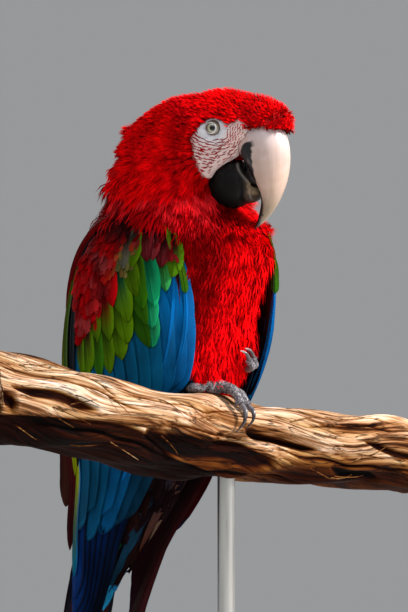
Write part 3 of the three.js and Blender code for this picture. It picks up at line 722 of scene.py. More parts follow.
def feather_tree(name, scattered):
    """A tree that sets a feather at points, each along its lie and lifted off the skin.
    Scattered points are found on the surface; otherwise each point of the mesh is a root."""
    group = bpy.data.node_groups.new(name, "GeometryNodeTree")
    group.interface.new_socket("Geometry", in_out="OUTPUT", socket_type="NodeSocketGeometry")
    for label, kind in (
        ("Geometry", "Geometry"), ("Feather", "Object"), ("Spacing", "Float"), ("Seed", "Int"), ("Disorder", "Float"),
    ):
        group.interface.new_socket(label, in_out="INPUT", socket_type="NodeSocket" + kind)
    tree = Nodes(group)
    given = tree.add("NodeGroupInput").outputs

    def carried(label, kind="FLOAT"):
        return tree.add("GeometryNodeInputNamedAttribute", {"Name": label}, data_type=kind)

    def store(geometry, label, kind, value, domain="POINT"):
        inputs = {"Geometry": geometry, "Name": label, "Value": value}
        return tree.add("GeometryNodeStoreNamedAttribute", inputs, data_type=kind, domain=domain)

    def random(low, high, seed):
        """A number or a vector between low and high for each feather."""
        row = int(isinstance(low, float))
        seed = tree.maths("ADD", given["Seed"], float(seed))
        return tree.add(
            "FunctionNodeRandomValue", {2 * row: low, 2 * row + 1: high, "Seed": seed},
            data_type=("FLOAT_VECTOR", "FLOAT")[row],
        ).outputs[row]

    if scattered:
        found = tree.add(
            "GeometryNodeDistributePointsOnFaces",
            {"Mesh": given["Geometry"], "Distance Min": given["Spacing"], "Density Max": CLOSEST,
             "Density Factor": carried("cover"), "Seed": given["Seed"]},
            distribute_method="POISSON",
        )
        points = store(found, "out", "FLOAT_VECTOR", found.outputs["Normal"])
    else:
        points = tree.add("GeometryNodeMeshToPoints", {"Mesh": given["Geometry"]})
    points = store(points, "bright", "FLOAT", tree.maths("MULTIPLY_ADD", random(-0.3, 0.24, 3), given["Disorder"], 1.0))
    turn = tree.add("FunctionNodeAlignRotationToVector", {"Vector": carried("lie", "FLOAT_VECTOR")}, axis="Y")
    stand = tree.add(
        "FunctionNodeAlignRotationToVector", {"Rotation": turn, "Vector": carried("out", "FLOAT_VECTOR")},
        axis="Z", pivot_axis="Y",
    )
    wobble = tree.scaled(random((-0.16, -0.35, -0.45), (0.16, 0.35, 0.45), 1), given["Disorder"])
    loose = tree.add(
        "FunctionNodeRotateRotation",
        {"Rotation": stand, "Rotate By": tree.add("FunctionNodeEulerToRotation", {0: wobble})}, rotation_space="LOCAL",
    )
    size = tree.times(carried("reach"), random(0.8, 1.18, 2))
    broad, high = tree.times(size, carried("breadth")), tree.times(size, carried("loft"))
    shape = tree.add("ShaderNodeCombineXYZ", {0: broad, 1: size, 2: high})
    feather = tree.add("GeometryNodeObjectInfo", {"Object": given["Feather"]}).outputs["Geometry"]
    placed = tree.add(
        "GeometryNodeInstanceOnPoints", {"Points": points, "Instance": feather, "Rotation": loose, "Scale": shape},
    )
    coat = tree.add("GeometryNodeRealizeInstances", {0: placed})
    tone = tree.times(carried("bright"), carried("shade"))
    coat = store(coat, "tint", "FLOAT_COLOR", tree.scaled(carried("plume", "FLOAT_COLOR"), tone))
    coat = store(coat, "barb", "FLOAT", tree.times(carried("barb"), carried("reach")))
    patch = tree.scaled(carried("patch", "FLOAT_VECTOR"), PATCH)
    spot = tree.vectors("ADD", carried("root", "FLOAT_VECTOR"), patch)
    coat = store(coat, BAKE_MAP, "FLOAT2", spot, "CORNER")
    tree.add("NodeGroupOutput", {0: tree.add("GeometryNodeSetMaterial", {"Geometry": coat, "Material": FEATHER})})
    return group


SCATTERED, IN_ROWS = feather_tree("scattered feathers", True), feather_tree("rows of feathers", False)
SPARE = ("lie", "out", "reach", "breadth", "loft", "cover", "plume", "shade", "patch", "root", "bright", "bare")


def feathered(name, base, feather, spacing, seed, slot, disorder, tree=SCATTERED):
    """Grows a coat piece on a mesh that carries the feathers' values."""
    thing = put("base", base)
    modifier = thing.modifiers.new("feathers", "NODES")
    modifier.node_group = tree
    given = {"Feather": feather, "Spacing": spacing * MM, "Seed": seed, "Disorder": disorder}
    for item in tree.interface.items_tree:
        if item.name in given:
            modifier[item.identifier] = given[item.name]
    mesh = finished_mesh(thing)
    for spare in SPARE:
        if spare in mesh.attributes:
            mesh.attributes.remove(mesh.attributes[spare])
    mesh.shade_smooth()
    mesh.name = name
    piece(name, mesh, None, slot)


PLUSH = tuft_mesh("plush", 5, 0.3, 0.17)
SILK = tuft_mesh("silk", 8, 0.34, 0.12, 0.26, 0.66)
BODY_VANE = vane_mesh("body vane", 8, 0.14)
LONG_VANE = vane_mesh("long vane", 9, 0.1)
DASH = vane_mesh("dash", 2, 0.4, 0.25)
STREAK = vane_mesh("streak", 5, 0.06, 0.3, 0.8)

# ---- the skin and its coats
RIDGE = [(42, 16), (58, 6), (64, -7), (65.5, -21), (63.5, -36), (58.5, -50), (51.5, -62), (44, -70), (36, -76.5)]
EDGE = [(20, 2), (23, -8), (27, -17), (32, -26), (38, -36), (42.5, -45), (44, -54), (41, -65), (35, -77)]
BILL_GRID = (150, 120)
BILL_WIDE = [14, 16, 16.5, 15.5, 13.5, 10.5, 8, 5, 0.7]
FLESH = ("head", "neck", "trunk", "thigh_left", "thigh_right", "undertail")
FLESH_GRAIN = 2.3
RED = "red_feathers"
# Heights at which one coat gives way to the next, with a small overlap, and where the back begins.
HEAD_FOOT, NECK_FOOT, BACK_FOOT, BACK_FROM = 700, 640, 470, 10
CAPE_LEVELS = (670, 666, 662, 658, 654)
CAPE_STEPS = 170


def upper_bill():
    """The upper bill's points, ring by ring from its root to its tip."""
    rows, around = BILL_GRID
    s = np.linspace(0, 1, rows)
    ridge, edge, wide = along(RIDGE, s), along(EDGE, s), along(BILL_WIDE, s)[:, 0]
    middle, rise = (ridge + edge) / 2, (ridge - edge) / 2
    angle = circle(around)
    square = np.where(np.sin(angle) < -1e-9, 0.55, 1.0)
    out, high = (np.sign(v) * np.abs(v) ** square for v in (np.cos(angle), np.sin(angle)))
    profile = middle[:, None] + rise[:, None] * high[None, :, None]
    return capped(head_point(profile[..., 0], wide[:, None] * out[None, :], profile[..., 1]))


bill_points = upper_bill()
bill_tree = BVHTree.FromPolygons([tuple(q) for q in bill_points], ring_faces(*BILL_GRID))


def from_bill(p, far=30.0):
    """Distance from places to the upper bill."""
    near = [bill_tree.find_nearest(Vector(q), far)[3] if q[2] > 650 and q[1] < -50 else None for q in p]
    return np.array([distance or far for distance in near])


def coat_depth(p, face):
    """How far the skin lies inside the outline."""
    over_bill = ease(9 - from_bill(p), 0, 5) * ease(in_head(p)[:, 2], 2, 6)
    belly = ease(540 - p[:, 2], 0, 40) * ease(-p[:, 1], -20, 0)
    return layered(7.0, (2.6, ease(p[:, 2], 655, 705)), (5.0, belly), (0.8, over_bill), (0.4, face))


def face_share(p):
    """1 on the bare face, 0 in the feathers."""
    head = in_head(p)
    edge = polygon_distance(head[:, [0, 2]], FACE) + 0.9 * ripple(p, 9.0, 3)
    return (1 - ease(edge, -0.8, 0.8)) * ease(np.abs(head[:, 1]), 5, 9) * (p[:, 2] > 655)


def body_lie(p, normal):
    """The way that the feathers point, along the skin."""
    (x, y, z), (ahead, _, above) = p.T, in_head(p).T
    down = unit(np.column_stack([0.0005 * x, 0.28 + 0 * z, -1 + 0 * z]))
    lie = layered(
        down,
        (unit(vec(-0.10, 0.05, -1)), ease(-y, 10, 50)),
        (unit(p - head_point(66, 0, -6)), ease(z, 655, 715)),
        (unit(FORWARD * 0.35 - UP), ease(ahead - 0.9 * above, 44, 50) * (above > -14)),
    )
    swirl = np.column_stack([ripple(p, 60, 1), ripple(p, 60, 2), 0.3 * ripple(p, 60, 4)]) * 0.16
    lie = along_surface(lie + swirl, normal)
    short = np.maximum(0.95 - np.linalg.norm(lie, axis=-1, keepdims=True), 0) * (z[:, None] > 700)
    return unit(lie + 2.5 * short * normal)


def body_plume(p):
    """Colours of the head and body, with painted shade beside the right wing, under the cape, under the brow and low on
    the back and under the tail.
    """
    x, y, z = p.T
    # painted shade on the breast's right side, beside the wing and under the cape
    painted_shade_by_wing = ease(-x, 14, 34) * ease(z, 540, 590) * ease(668 - z, 0, 20) * ease(-y, -10, 15)
    rump = ease(ease(y, 55, 85) * ease(562 + 8 * ripple(p, 18, 4) - z, 0, 40), 0.43, 0.48)
    # a dark brownish band beside the bill: partly the brow fringe's own brown, partly painted shadow under the brow
    shadow_and_fringe_by_bill = ease(6.5 - from_bill(p), 0, 4) * (z > 700) * ease(7 - in_head(p)[:, 2], 0, 5)
    # near black low on the back and under the tail: partly the feathers' own dark tones, partly painted shade
    under = mix(NIGHT, mix(MAROON, RUSSET, 0.7) * 0.4, 0.5 + 0.5 * ripple(p, 40, 6))
    return layered(
        SCARLET,
        (CRIMSON, np.clip(0.4 + 0.45 * ripple(p, 38, 5) + 0.3 * ripple(p, 13, 2), 0, 1)),
        (CRIMSON * 0.75, ease(y, 35, 75) * 0.6),
        (CRIMSON * 0.28, ease(ripple(p, 27, 11), 0.3, 0.75) * ease(690 - z, 0, 30) * 0.75),
        (CRIMSON * 0.3, painted_shade_by_wing * 0.85),
        # near black low on the back: partly the feathers' own dark colour, partly painted shade
        (NIGHT, ease(512 - z, 0, 15) * ease(y, 5, 25)),
        (mix(SKY, AZURE, 0.35 + 0.3 * ripple(p, 25, 12)), rump),
        (mix(MAROON * 0.5, RUSSET * 0.6, 0.5 + 0.5 * ripple(p, 8, 3)), shadow_and_fringe_by_bill),
        # painted shade under the cape's edge, on the right side
        (CRIMSON * 0.55, ease(z, 640, 655) * ease(676 - z, 0, 10) * ease(-x, 5, 25)),
        (under * 0.45, ease(488 - z, 0, 22) * (1 - rump)),
    )


def hidden_by_wings(p):
    """1 where a folded wing covers the body."""
    z = p[:, 2]
    level = through(WING_LEVELS, z)
    angle = wing_angle(p, level)
    lap = level[:, 3] + mix(0.0, 12.0, ease(z, 530, 560))
    return ease(angle, lap, lap + 6) * ease(-angle, -level[:, 4] + 10, -level[:, 4] + 16) * (z < 640)


def unwrapped(mesh):
    """A copy of a mesh, laid out flat in its bake map."""
    holder = put("holder", mesh)
    bpy.context.view_layer.objects.active = holder
    holder.select_set(True)
    mesh.uv_layers.new(name=BAKE_MAP)
    bpy.ops.object.mode_set(mode="EDIT")
    bpy.ops.mesh.select_all(action="SELECT")
    bpy.ops.uv.smart_project(angle_limit=1.15, island_margin=0.004, scale_to_bounds=True)
    bpy.ops.object.mode_set(mode="OBJECT")
    flat = holder.data.copy()
    bpy.data.objects.remove(holder)
    return flat


def with_values(base, **values):
    """A copy of a mesh that carries what the feathers need."""
    mesh = base.copy()
    for name, value in values.items():
        set_values(mesh, name, np.asarray(value, float))
    flat = np.empty(2 * len(mesh.loops), np.float32)
    mesh.uv_layers[BAKE_MAP].uv.foreach_get("vector", flat)
    root = np.column_stack([flat.reshape(-1, 2), 0 * flat[::2]])
    mesh.attributes.new("root", "FLOAT_VECTOR", "CORNER").data.foreach_set("vector", root.ravel())
    return mesh


def body_skin():
    """One skin over the bird's flesh, as deep as its coat, with its hollows and throat filled out."""
    skin = melted(joined_nodes(FLESH, 0.35), FLESH_GRAIN, 10)
    p, normal = places(skin)
    move_points(skin, p - normal * coat_depth(p, face_share(p))[:, None])
    skin = worked(skin, ("SMOOTH", {"iterations": 3}))
    p, normal = places(skin)
    rounder, _ = places(worked(skin, ("SMOOTH", {"iterations": 200})))
    fill = np.maximum(((rounder - p) * normal).sum(-1), 0) * ease(715 - p[:, 2], 0, 25)
    throat = np.exp(-(((in_head(p) - vec(29, 0, -61)) / vec(16, 16, 12)) ** 2).sum(-1))
    move_points(skin, p + normal * fill[:, None] + (FORWARD * 19 - UP * 3) * throat[:, None])
    return unwrapped(skin)


skin = body_skin()
spots, normals = places(skin)


def dress_body():
    """Shows the skin and grows the coats of the head and body on it."""
    (x, y, z), (ahead, _, above) = spots.T, in_head(spots).T
    bare, plume = face_share(spots), body_plume(spots)
    parting = ahead - 0.9 * above
    brow = ease(parting, 34, 40) * ease(-parting, -60, -54) * (above > 0) * (1 - bare)
    from_eye = np.hypot(ahead - EYE["forward"], above - EYE["up"])
    face_tint = mix(vec(0.66, 0.65, 0.69), vec(0.70, 0.53, 0.51), ease(from_eye, 9, 17))
    skin_shown = skin.copy()
    # the skin under the coat takes the plumage's colour darkened to a third: painted shade in the coat's depth, lighter
    # in the brow's parting
    set_values(skin_shown, "tint", rgba(mix(plume * mix(0.35, 0.8, brow)[:, None], face_tint, bare)))
    set_values(skin_shown, "bare", bare)
    piece("skin", skin_shown, SKIN, RED, *FLESH)

    low = ease(480 - z, 0, 30)
    clump = ease(ripple(spots, 24, 9), 0.1, 0.6) * ease(y, -45, -20) * ease(z, 650, 665) * ease(-z, -745, -725)
    reach = (1 + 0.55 * clump) * layered(
        21.0,
        (7.0, ease(z, 660, 712)),
        (25.0, ease(y, -20, 30) * ease(-z, -690, -640)),
        (mix(32.0, 24.0, ease(y, 85, 95)), low),
        (15.0, ease(z, 450, 480) * ease(-z, -545, -520) * ease(np.abs(x), 18, 40)),
        (9.0, ease(-x, 22, 32) * ease(548 - z, 0, 12) * (y < 10)),
        (4.6, ease(ahead, 0, 35) * (z > 695)),
        (13.0, ease(normals[:, 2], 0.25, 0.6) * (y < -5) * (z < 700)),
    )
    common = {
        "lie": body_lie(spots, normals), "reach": reach * MM, "plume": rgba(plume),
        "breadth": layered(0.5, (0.55, ease(z, 650, 700)), (0.3, low)),
        "loft": coat_depth(spots, 0 * bare) / reach / 0.3 * (1 + 1.1 * clump),
    }
    shown = (1 - bare) * (1 - hidden_by_wings(spots)) * (1 - ease(normals[:, 1], 0.0, 0.3) * (z < 446))
    breast, behind = (z <= NECK_FOOT + 4) & (y < BACK_FROM), y >= BACK_FROM
    for name, cover, feather, spacing, disorder, slot in (
        ("head", z > HEAD_FOOT, PLUSH, 1.15, 0.55, RED),
        ("brow", brow, PLUSH, 0.85, 1.8, RED),
        ("neck", (z <= HEAD_FOOT + 3) & (z > NECK_FOOT), SILK, 1.95, 0.8, RED),
        ("breast_left", breast & (x > 0), SILK, 2.2, 1.0, RED),
        ("breast_right", breast & (x <= 0), SILK, 2.2, 1.0, RED),
        ("back", (z <= NECK_FOOT + 4) & behind & (z > BACK_FOOT), BODY_VANE, 4.2, 1.0, RED),
        ("undertail", (z <= BACK_FOOT + 4) & behind, LONG_VANE, 5.0, 0.35, "undertail_feathers"),
    ):
        base = with_values(skin, cover=cover * shown, **common)
        feathered(f"coat_{name}", base, feather, spacing, 3, slot, disorder)


dress_body()
skin_tree = BVHTree.FromPolygons([tuple(q) for q in spots], [tuple(poly.vertices) for poly in skin.polygons])
# Rays that find places on the skin start this far round the neck, before the tail and beside the head.
ROUND_NECK, BEFORE_TAIL, BESIDE_HEAD = 150, -200, 60.0


def on_skin(start, way):
    """Place and outward normal of the skin where a ray meets it."""
    hit, normal, _, _ = skin_tree.ray_cast(Vector(start), Vector(way))
    return (None, None) if hit is None else (np.array(hit), np.array(normal))


def rooted(name, rows, feather, bake, disorder):
    """Feathers at chosen roots: each row has its place, out, lie, reach, breadth, loft and colour."""
    place, out, lie, size, broad, high, plume = (np.array(column) for column in zip(*rows))
    base = bpy.data.meshes.new("roots")
    base.from_pydata((place * MM).tolist(), [], [])
    for key, value in {
        "out": out, "lie": lie, "reach": size * MM, "breadth": broad, "loft": high, "plume": rgba(plume),
        "root": np.column_stack([*bake, 0 * size]),
    }.items():
        set_values(base, key, value)
    feathered(name, base, feather, 1.0, 2, RED, disorder, IN_ROWS)


def cape():
    """Rows of feathers that hang from the neck over the breast and shoulders."""
    rows = []
    for row, level in enumerate(CAPE_LEVELS):
        for step in range(CAPE_STEPS):
            turn = math.radians(30 + 300 * (step + 0.5 * (row % 2)) / CAPE_STEPS)
            away = vec(math.sin(turn), -math.cos(turn), 0)
            spot, _ = on_skin(vec(0, 0, level + 1.5 * math.sin(5 * step + row)) + away * ROUND_NECK, -away)
            if spot is None:
                continue
            # tufts run from dark crimson to a paler pinkish red, which paints in the sheen on the neck
            tone = 0.6 + 0.4 * math.sin(1.9 * step + 2 * row)
            plume = mix(CRIMSON * 0.7, mix(SCARLET, vec(0.55, 0.02, 0.03), 0.5), tone)
            out, lie = unit(away * 0.8 + UP * 0.5), unit(away * 0.5 - UP * 0.9)
            rows.append((spot, out, lie, 20 + 4 * math.sin(2.7 * step), 0.5, 0.45, plume))
    x, y, z = np.array([row[0] for row in rows]).T
    rooted("coat_cape", rows, SILK, (0.5 + np.arctan2(x, -y) / 7, (z - 640) / 40), 0.8)


# ---- large feathers
# Places round a feather's section, from -1 at its rear edge to 1: over the top, then back below.
ACROSS = vec(-1, -0.94, -0.66, -0.36, -0.06, 0, 0.06, 0.36, 0.66, 0.94, 1)
AROUND = np.concatenate([ACROSS, ACROSS[-2:0:-1]])
ON_TOP = np.arange(len(AROUND)) < len(ACROSS)


def outline(s, rounded):
    """Share of a feather's full width, from its root to its rounded tip."""
    end = np.clip((s - 1 + rounded) / rounded, 0, 1)
    return (0.5 + 0.5 * ease(s, 0, 0.35)) * (1 - 0.99 * end**1.8) ** 0.62


class Blades(Pile):
    """Large feathers: thin closed blades with a shaft. Each has its own patches of the bake map."""

    def __init__(self, rooms):
        super().__init__()
        self.wide, self.made = math.ceil(math.sqrt(rooms)), 0

    def feather(self, middle, out, ahead, half, upper, lower, camber=0.5, tilt=0.4, fray=0.0, rounded=0.16):
        """Lays a feather on a path of points, root first. upper(s, t) and lower(s, t) give the
        colours: s runs 0 to 1 from root to tip, and t from -1, the rear edge, to 1."""
        s = np.concatenate([[0], np.cumsum(np.linalg.norm(np.diff(middle, axis=0), axis=1))])
        length, s = s[-1], s / s[-1]
        way = unit(np.gradient(middle, axis=0))
        across = unit(np.cross(out, way))
        across *= np.sign((across * ahead).sum(-1))[:, None]
        nicks = 1 - 0.05 * np.maximum(0, np.sin(s * 37 + self.made * 2.3)) ** 8
        width = half * outline(s, rounded) * nicks
        lift = camber * (1 - ACROSS**2) + tilt * ACROSS + 0.35 * (ACROSS == 0)
        top = middle[:, None] + across[:, None] * (width[:, None] * ACROSS)[..., None] + out[:, None] * lift[:, None]
        worn = fray * np.sin(41 * ACROSS + 5 * self.made) * ease(s, 0.86, 1)[:, None]
        top += way[:, None] * worn[..., None]
        under = top[:, -2:0:-1] - out[:, None] * (0.45 * (1 - ACROSS[-2:0:-1] ** 4) + 0.04)[:, None]
        grid_s, grid_t = np.broadcast_arrays(s[:, None], AROUND)
        tint = np.where(ON_TOP[:, None], upper(grid_s, grid_t), lower(grid_s, grid_t))
        tint = np.where(((AROUND == 0) & ON_TOP)[:, None], tint * 0.45, tint)
        column, row = divmod(self.made, self.wide)
        turned = np.where(ON_TOP, 0.25 + 0.22 * AROUND, 0.75 - 0.22 * AROUND)
        spot = np.stack([column + turned + 0 * grid_s, row + 0.04 + 0.92 * grid_s], axis=-1) / self.wide
        barb = (grid_s * length - 1.5 * np.abs(grid_t) * np.mean(half)) * MM
        self.add(
            capped(np.concatenate([top, under], axis=1)), ring_faces(len(s), len(AROUND)), tint=rgba(capped(tint)),
            barb=capped(barb[..., None])[:, 0], OFBake=capped(spot),
        )
        self.made += 1


def plain(root, tip, edge, under=MAROON):
    """Colours of a feather that goes from one colour to another, with another front edge; its rear half is darkened as
    painted shade.
    """

    def upper(s, t):
        colour = layered(root, (tip, ease(s, 0.25, 0.95)), (edge, ease(t, 0.35, 0.95)))
        # painted shade: darker towards the rear edge
        return mix(colour, colour * 0.72, ease(-t, 0.2, 1.0))

    return upper, lambda s, t: mix(under * 0.35, under * 1.3, ease(t, -0.5, 0.8))


def solid(name, points, faces, **values):
    """A closed shape whose faces point outwards."""
    pile = Pile()
    pile.add(points, faces, **values)
    return outwards(pile.mesh(name))


def wing_underlay(side, rows=46, cols=40):
    """The feathered arm under the rows of feathers, which also gives the wing its inner face."""
    z, u = np.linspace(WING_TOP - 2, 490, rows)[:, None], np.linspace(0.02, 0.98, cols)[None, :]
    thick = wing_thickness(z, u)
    outer = wing_point(side, z, u, np.minimum(3.4, 0.45 * thick))
    inner = wing_point(side, z, u, thick)[:, ::-1]
    return solid("underlay", capped(np.concatenate([outer, inner], axis=1)), ring_faces(rows, 2 * cols))


def covert_plume(z, u, p):
    """Colours of the small coverts: crimson with dark streaks and with pale pinkish streaks that are painted sheen,
    maroon in front, and painted shadow on top under the cape.
    """
    olive = ease(0.1 - np.abs(u - 0.33), 0, 0.06) * ease(16 - np.abs(z - 622), 0, 9)
    red = layered(
        CRIMSON * 0.95,
        (MAROON * 1.6, ease(ripple(p, 30, 2), -0.2, 0.6) * 0.75),
        # pale pinkish streaks: painted sheen
        (vec(0.34, 0.07, 0.07), ease(ripple(p, 17, 7), 0.1, 0.6) * 0.6),
        (MAROON, ease(0.27 - u, 0, 0.1) * (0.55 + 0.45 * ease(ripple(p, 16, 4), -0.3, 0.3))),
    )
    return layered(
        red * mix(0.45, 1.15, 0.5 + 0.5 * ripple(p, 9, 21))[:, None],
        (mix(OLIVE, vec(0.10, 0.09, 0.07), 0.5), olive * 0.85),
        # painted shadow along the top, under the cape's edge
        (MAROON * 0.15, ease(z, 632, 646) * 0.9),
    )


# Coverts of the middle of the wing, lowest row first: height and u of root and tip, half width
# and the colours of base and end. Each row covers the roots of the row below it.
MIDDLE_COVERTS = [
    (572, 0.37, 538, 0.30, 8.6, OLIVE * 0.9, OLIVE * 1.3), (572, 0.44, 527, 0.385, 7.6, OLIVE * 0.8, OLIVE * 1.2),
    (570, 0.50, 523, 0.45, 7.2, OLIVE * 0.7, LEAF * 0.8), (570, 0.57, 529, 0.52, 7.0, MAROON * 1.4, OLIVE),
    (566, 0.64, 524, 0.59, 6.6, MAROON * 1.2, OLIVE * 0.9), (560, 0.58, 520, 0.55, 6.0, OLIVE * 0.8, OLIVE * 0.8),
    (582, 0.20, 548, 0.145, 8.4, TEAL * 0.7, TEAL * 0.75),
    (592, 0.27, 548, 0.175, 9.0, LEAF * 0.6, LEAF * 0.8), (592, 0.37, 550, 0.29, 9.6, OLIVE * 0.9, OLIVE * 1.25),
    (594, 0.45, 553, 0.40, 7.6, CRIMSON * 0.7, OLIVE), (592, 0.53, 552, 0.47, 7.2, CRIMSON * 0.9, OLIVE * 0.8),
    (602, 0.21, 563, 0.15, 8.2, TEAL * 0.8, TEAL * 0.9),
    (604, 0.28, 565, 0.20, 7.2, OLIVE * 0.8, LEAF * 0.9), (616, 0.39, 567, 0.285, 9.4, TEAL * 0.45, OLIVE * 1.15),
    (620, 0.46, 580, 0.39, 8.0, CRIMSON * 0.7, CRIMSON * 0.75),
    (634, 0.23, 580, 0.145, 9.6, TEAL * 0.9, TEAL * 1.05), (630, 0.36, 588, 0.26, 8.4, OLIVE * 0.6, OLIVE * 0.8),
    (630, 0.28, 578, 0.20, 8.4, OLIVE * 0.7, LEAF * 0.95), (624, 0.12, 592, 0.085, 6.4, LEAF, mix(LEAF, TEAL, 0.5)),
    (642, 0.37, 610, 0.35, 8.0, MAROON, ASH), (644, 0.29, 611, 0.295, 8.0, ASH * 0.8, OLIVE * 0.95),
    (646, 0.21, 616, 0.20, 7.0, MAROON * 0.8, MAROON * 2), (637, 0.0, 603, 0.05, 8.0, MAROON, mix(OLIVE, LEAF, 0.4)),
    (638, 0.07, 611, 0.11, 7.0, MAROON * 0.8, MAROON * 1.7), (640, 0.14, 617, 0.16, 6.6, MAROON * 0.6, MAROON * 2.2),
]
# Blue coverts, front of the wing first: height and u of root and tip, and half width. Each lies
# over the one in front.
BLUE_COVERTS = [
    (637, 0.06, 523, -0.05, 11.5), (620, 0.12, 528, -0.005, 10.5), (606, 0.17, 523, 0.04, 10.0),
    (592, 0.24, 517, 0.095, 10.0), (584, 0.30, 516, 0.155, 9.8), (573, 0.36, 512, 0.22, 9.8),
    (564, 0.42, 510, 0.29, 9.5), (560, 0.48, 506, 0.36, 9.5), (556, 0.54, 506, 0.43, 9.0),
    (552, 0.60, 503, 0.50, 9.0), (550, 0.65, 502, 0.57, 8.5), (548, 0.70, 500, 0.64, 8.0),
]
# Narrow feathers that wrap round the front edge: stations (height, u), half width, depth and colours.
FRONT_FEATHERS = [
    (
        [(618, 0.04), (580, 0.045), (540, 0.05), (500, 0.06), (452, 0.07)], 4.2, 3.0,
        (AZURE * 1.2, AZURE * 1.1, AZURE * 1.3),
    ),
    (
        [(606, 0.0), (580, -0.01), (540, -0.01), (500, 0.0), (440, 0.0)], 2.6, 1.6,
        (AZURE * 1.1, AZURE * 1.1, AZURE * 1.4),
    ),
    ([(622, 0.02), (607, 0.0), (590, -0.01)], 3.4, 1.0, (OLIVE * 0.6, LEAF * 0.6, LEAF * 0.8)),
    ([(644, 0.0), (632, 0.02), (612, 0.02)], 3.6, 2.0, (OLIVE * 0.8, MAROON * 2, MAROON)),
]
FLIGHT_ROOMS = 49  # patches of the bake map for a wing's flight feathers and blue coverts
PRIMARIES, SECONDARIES, TERTIALS, SCAPULARS = 7, 7, 6, 3


def wing_feathers(side):
    """The large feathers of a folded wing: its middle coverts, and all the others."""
    coverts, flight = Blades(2 * len(MIDDLE_COVERTS)), Blades(FLIGHT_ROOMS)
    aside = vec(side, -0.35, 0)
    forward = vec(-0.6, -0.8, 0) if side == LEFT else vec(-0.35, -0.94, 0)

    def lay(path, half, depth, colours, steps, facing=None, pile=flight, **shape):
        """A feather along stations (height, u), root first; depth and colours from root to tip."""
        s = 1 - (1 - np.linspace(0, 1, steps)) ** 1.5
        z, u = along(path, s).T
        here, out, ahead = wing_frame(side, z, u, mix(*depth, s**0.8))
        if facing is not None:
            out = np.broadcast_to(unit(facing), out.shape)
            ahead = np.cross(out, UP) * side
        pile.feather(here, out, ahead, half, *plain(*colours), **shape)

    for f in np.linspace(0, 1, PRIMARIES):  # primaries: the front ones are the longest and lie deepest
        # the front primaries fade to near black: painted shade on the wing's front
        u, end = mix(0.62, 0.02, f), mix(ROYAL * 0.9, NIGHT, ease(f, 0.6, 0.85))
        path = [(500, u), (mix(420, 400, f), mix(0.62, -0.02, f) - 0.2 * f), (mix(345, 290, f**0.8), mix(0.62, 0.0, f))]
        lay(path, 9.0, (6.0 + 1.6 * f, 2.2 + 3.2 * f), (ROYAL * 0.6, end, NIGHT * 0.5), 26, tilt=0.9)
    for k, f in enumerate(np.linspace(0, 1, SECONDARIES)):  # secondaries: the rear ones lie on top
        # the front secondaries darken towards night as painted shade, and each is darker at its root as painted shade
        shade = layered(
            OCEAN * 1.1, (mix(OCEAN, AZURE, 0.5), ease(f, 0.2, 0.6)), (mix(OCEAN, NIGHT, 0.6), ease(f, 0.62, 0.9)),
        )
        path = [(560, mix(0.78, 0.0, f)), (403 + 7 * math.sin(2.4 * k) + 7 * (k % 2), mix(0.66, -0.22, f))]
        lay(
            path, 12.5, (6.5 + 1.2 * f, 2.0 + 2.6 * f), (shade * 0.5, shade * 0.68, shade * 0.75), 24,
            camber=0.8, tilt=0.9, fray=4.5, rounded=0.08,
        )
    lay([(478, 0.785), (363, 0.74)], 5.2, (2.2, 0.9), (YELLOW_GREEN, mix(TEAL, AZURE, 0.6) * 0.8, AZURE), 26)
    for k in range(TERTIALS):  # tertials, at the back
        u, end = 0.97 - 0.032 * k, mix(OCEAN * 0.9, OLIVE * 0.7, ease(k, 1, 5))
        path = [(622 - 3 * k, u - 0.02), (560, u), (452 + 11 * k, u - 0.02)]
        lay(path, 6.5, (3.4 - 0.3 * k, 1.0), (OLIVE * 0.5, end, end * 0.4), 20, rounded=0.3)
    brown, dusk = (MAROON * 0.6, RUSSET * 0.45, MAROON * 0.6), (MAROON * 0.6, MAROON * 0.5, MAROON * 0.6)
    lay([(520, 0.96), (419, 1.02)], 6.5, (1.0, -4.0), brown, 22, aside, rounded=0.2)
    lay([(500, 0.86), (384, 0.92)], 3.4, (1.0, -1.0), dusk, 22, aside)
    # a black feather along the rear edge: painted shadow for the gap between the coverts and the back
    path = [(648, 0.82), (610, 0.81), (580, 0.73), (545, 0.715), (500, 0.73), (452, 0.77)]
    lay(path, 7.5, (3.0, 1.2), (NIGHT * 0.5, NIGHT * 0.5, NIGHT), 30)
    green = (YELLOW_GREEN * 0.3, YELLOW_GREEN * 0.7, YELLOW_GREEN)
    lay([(600, 0.88), (520, 0.86), (444, 0.83)], 2.6, (1.8, 0.4), green, 24, aside)
    for k in range(SCAPULARS):  # scapulars, over the tertials' roots
        path = [(654, 0.96 - 0.05 * k), (622, 0.965 - 0.045 * k), (594 - 9 * k, 0.97 - 0.03 * k)]
        # dark crimson to maroon: partly their own colour, partly painted shade
        colours = (CRIMSON * 0.3, CRIMSON * 0.2, MAROON * 0.6)
        lay(path, 5.2 - 0.8 * k, (1.4, 0.5), colours, 20, aside if k == 2 else None, fray=2.0, rounded=0.4)
    for k, (*root, low, u, half) in enumerate(BLUE_COVERTS):
        shade = mix(OCEAN * 1.15, AZURE, ease(0.12 - u, 0, 0.14))
        path, colours = [root, (low - 14, u + 0.02 * (k == 0))], (shade * 0.85, shade, shade * 1.25)
        lay(path, half, (4.6, 2.4 - 0.09 * k), colours, 22, camber=0.8, tilt=1.0, fray=0.6)
    for path, half, depth, colours in FRONT_FEATHERS:
        lay(path, half, (depth, depth), colours, 24, forward, camber=0.4, tilt=0.0)
    for *root, low, u, half, base, end in MIDDLE_COVERTS:
        path, depth = [root, (low, u + 0.012 * math.sin(7 * low + 40 * u))], (3.2, 1.6 - 1.2 * ease(low, 520, 610))
        # each covert is darkened to 0.3 at its root: painted shade under the row above
        lay(
            path, half, depth, (base * 0.3, end, end * 1.35), 16, pile=coverts,
            camber=1.2, tilt=0.5, fray=1.2, rounded=0.45,
        )
    return coverts, flight


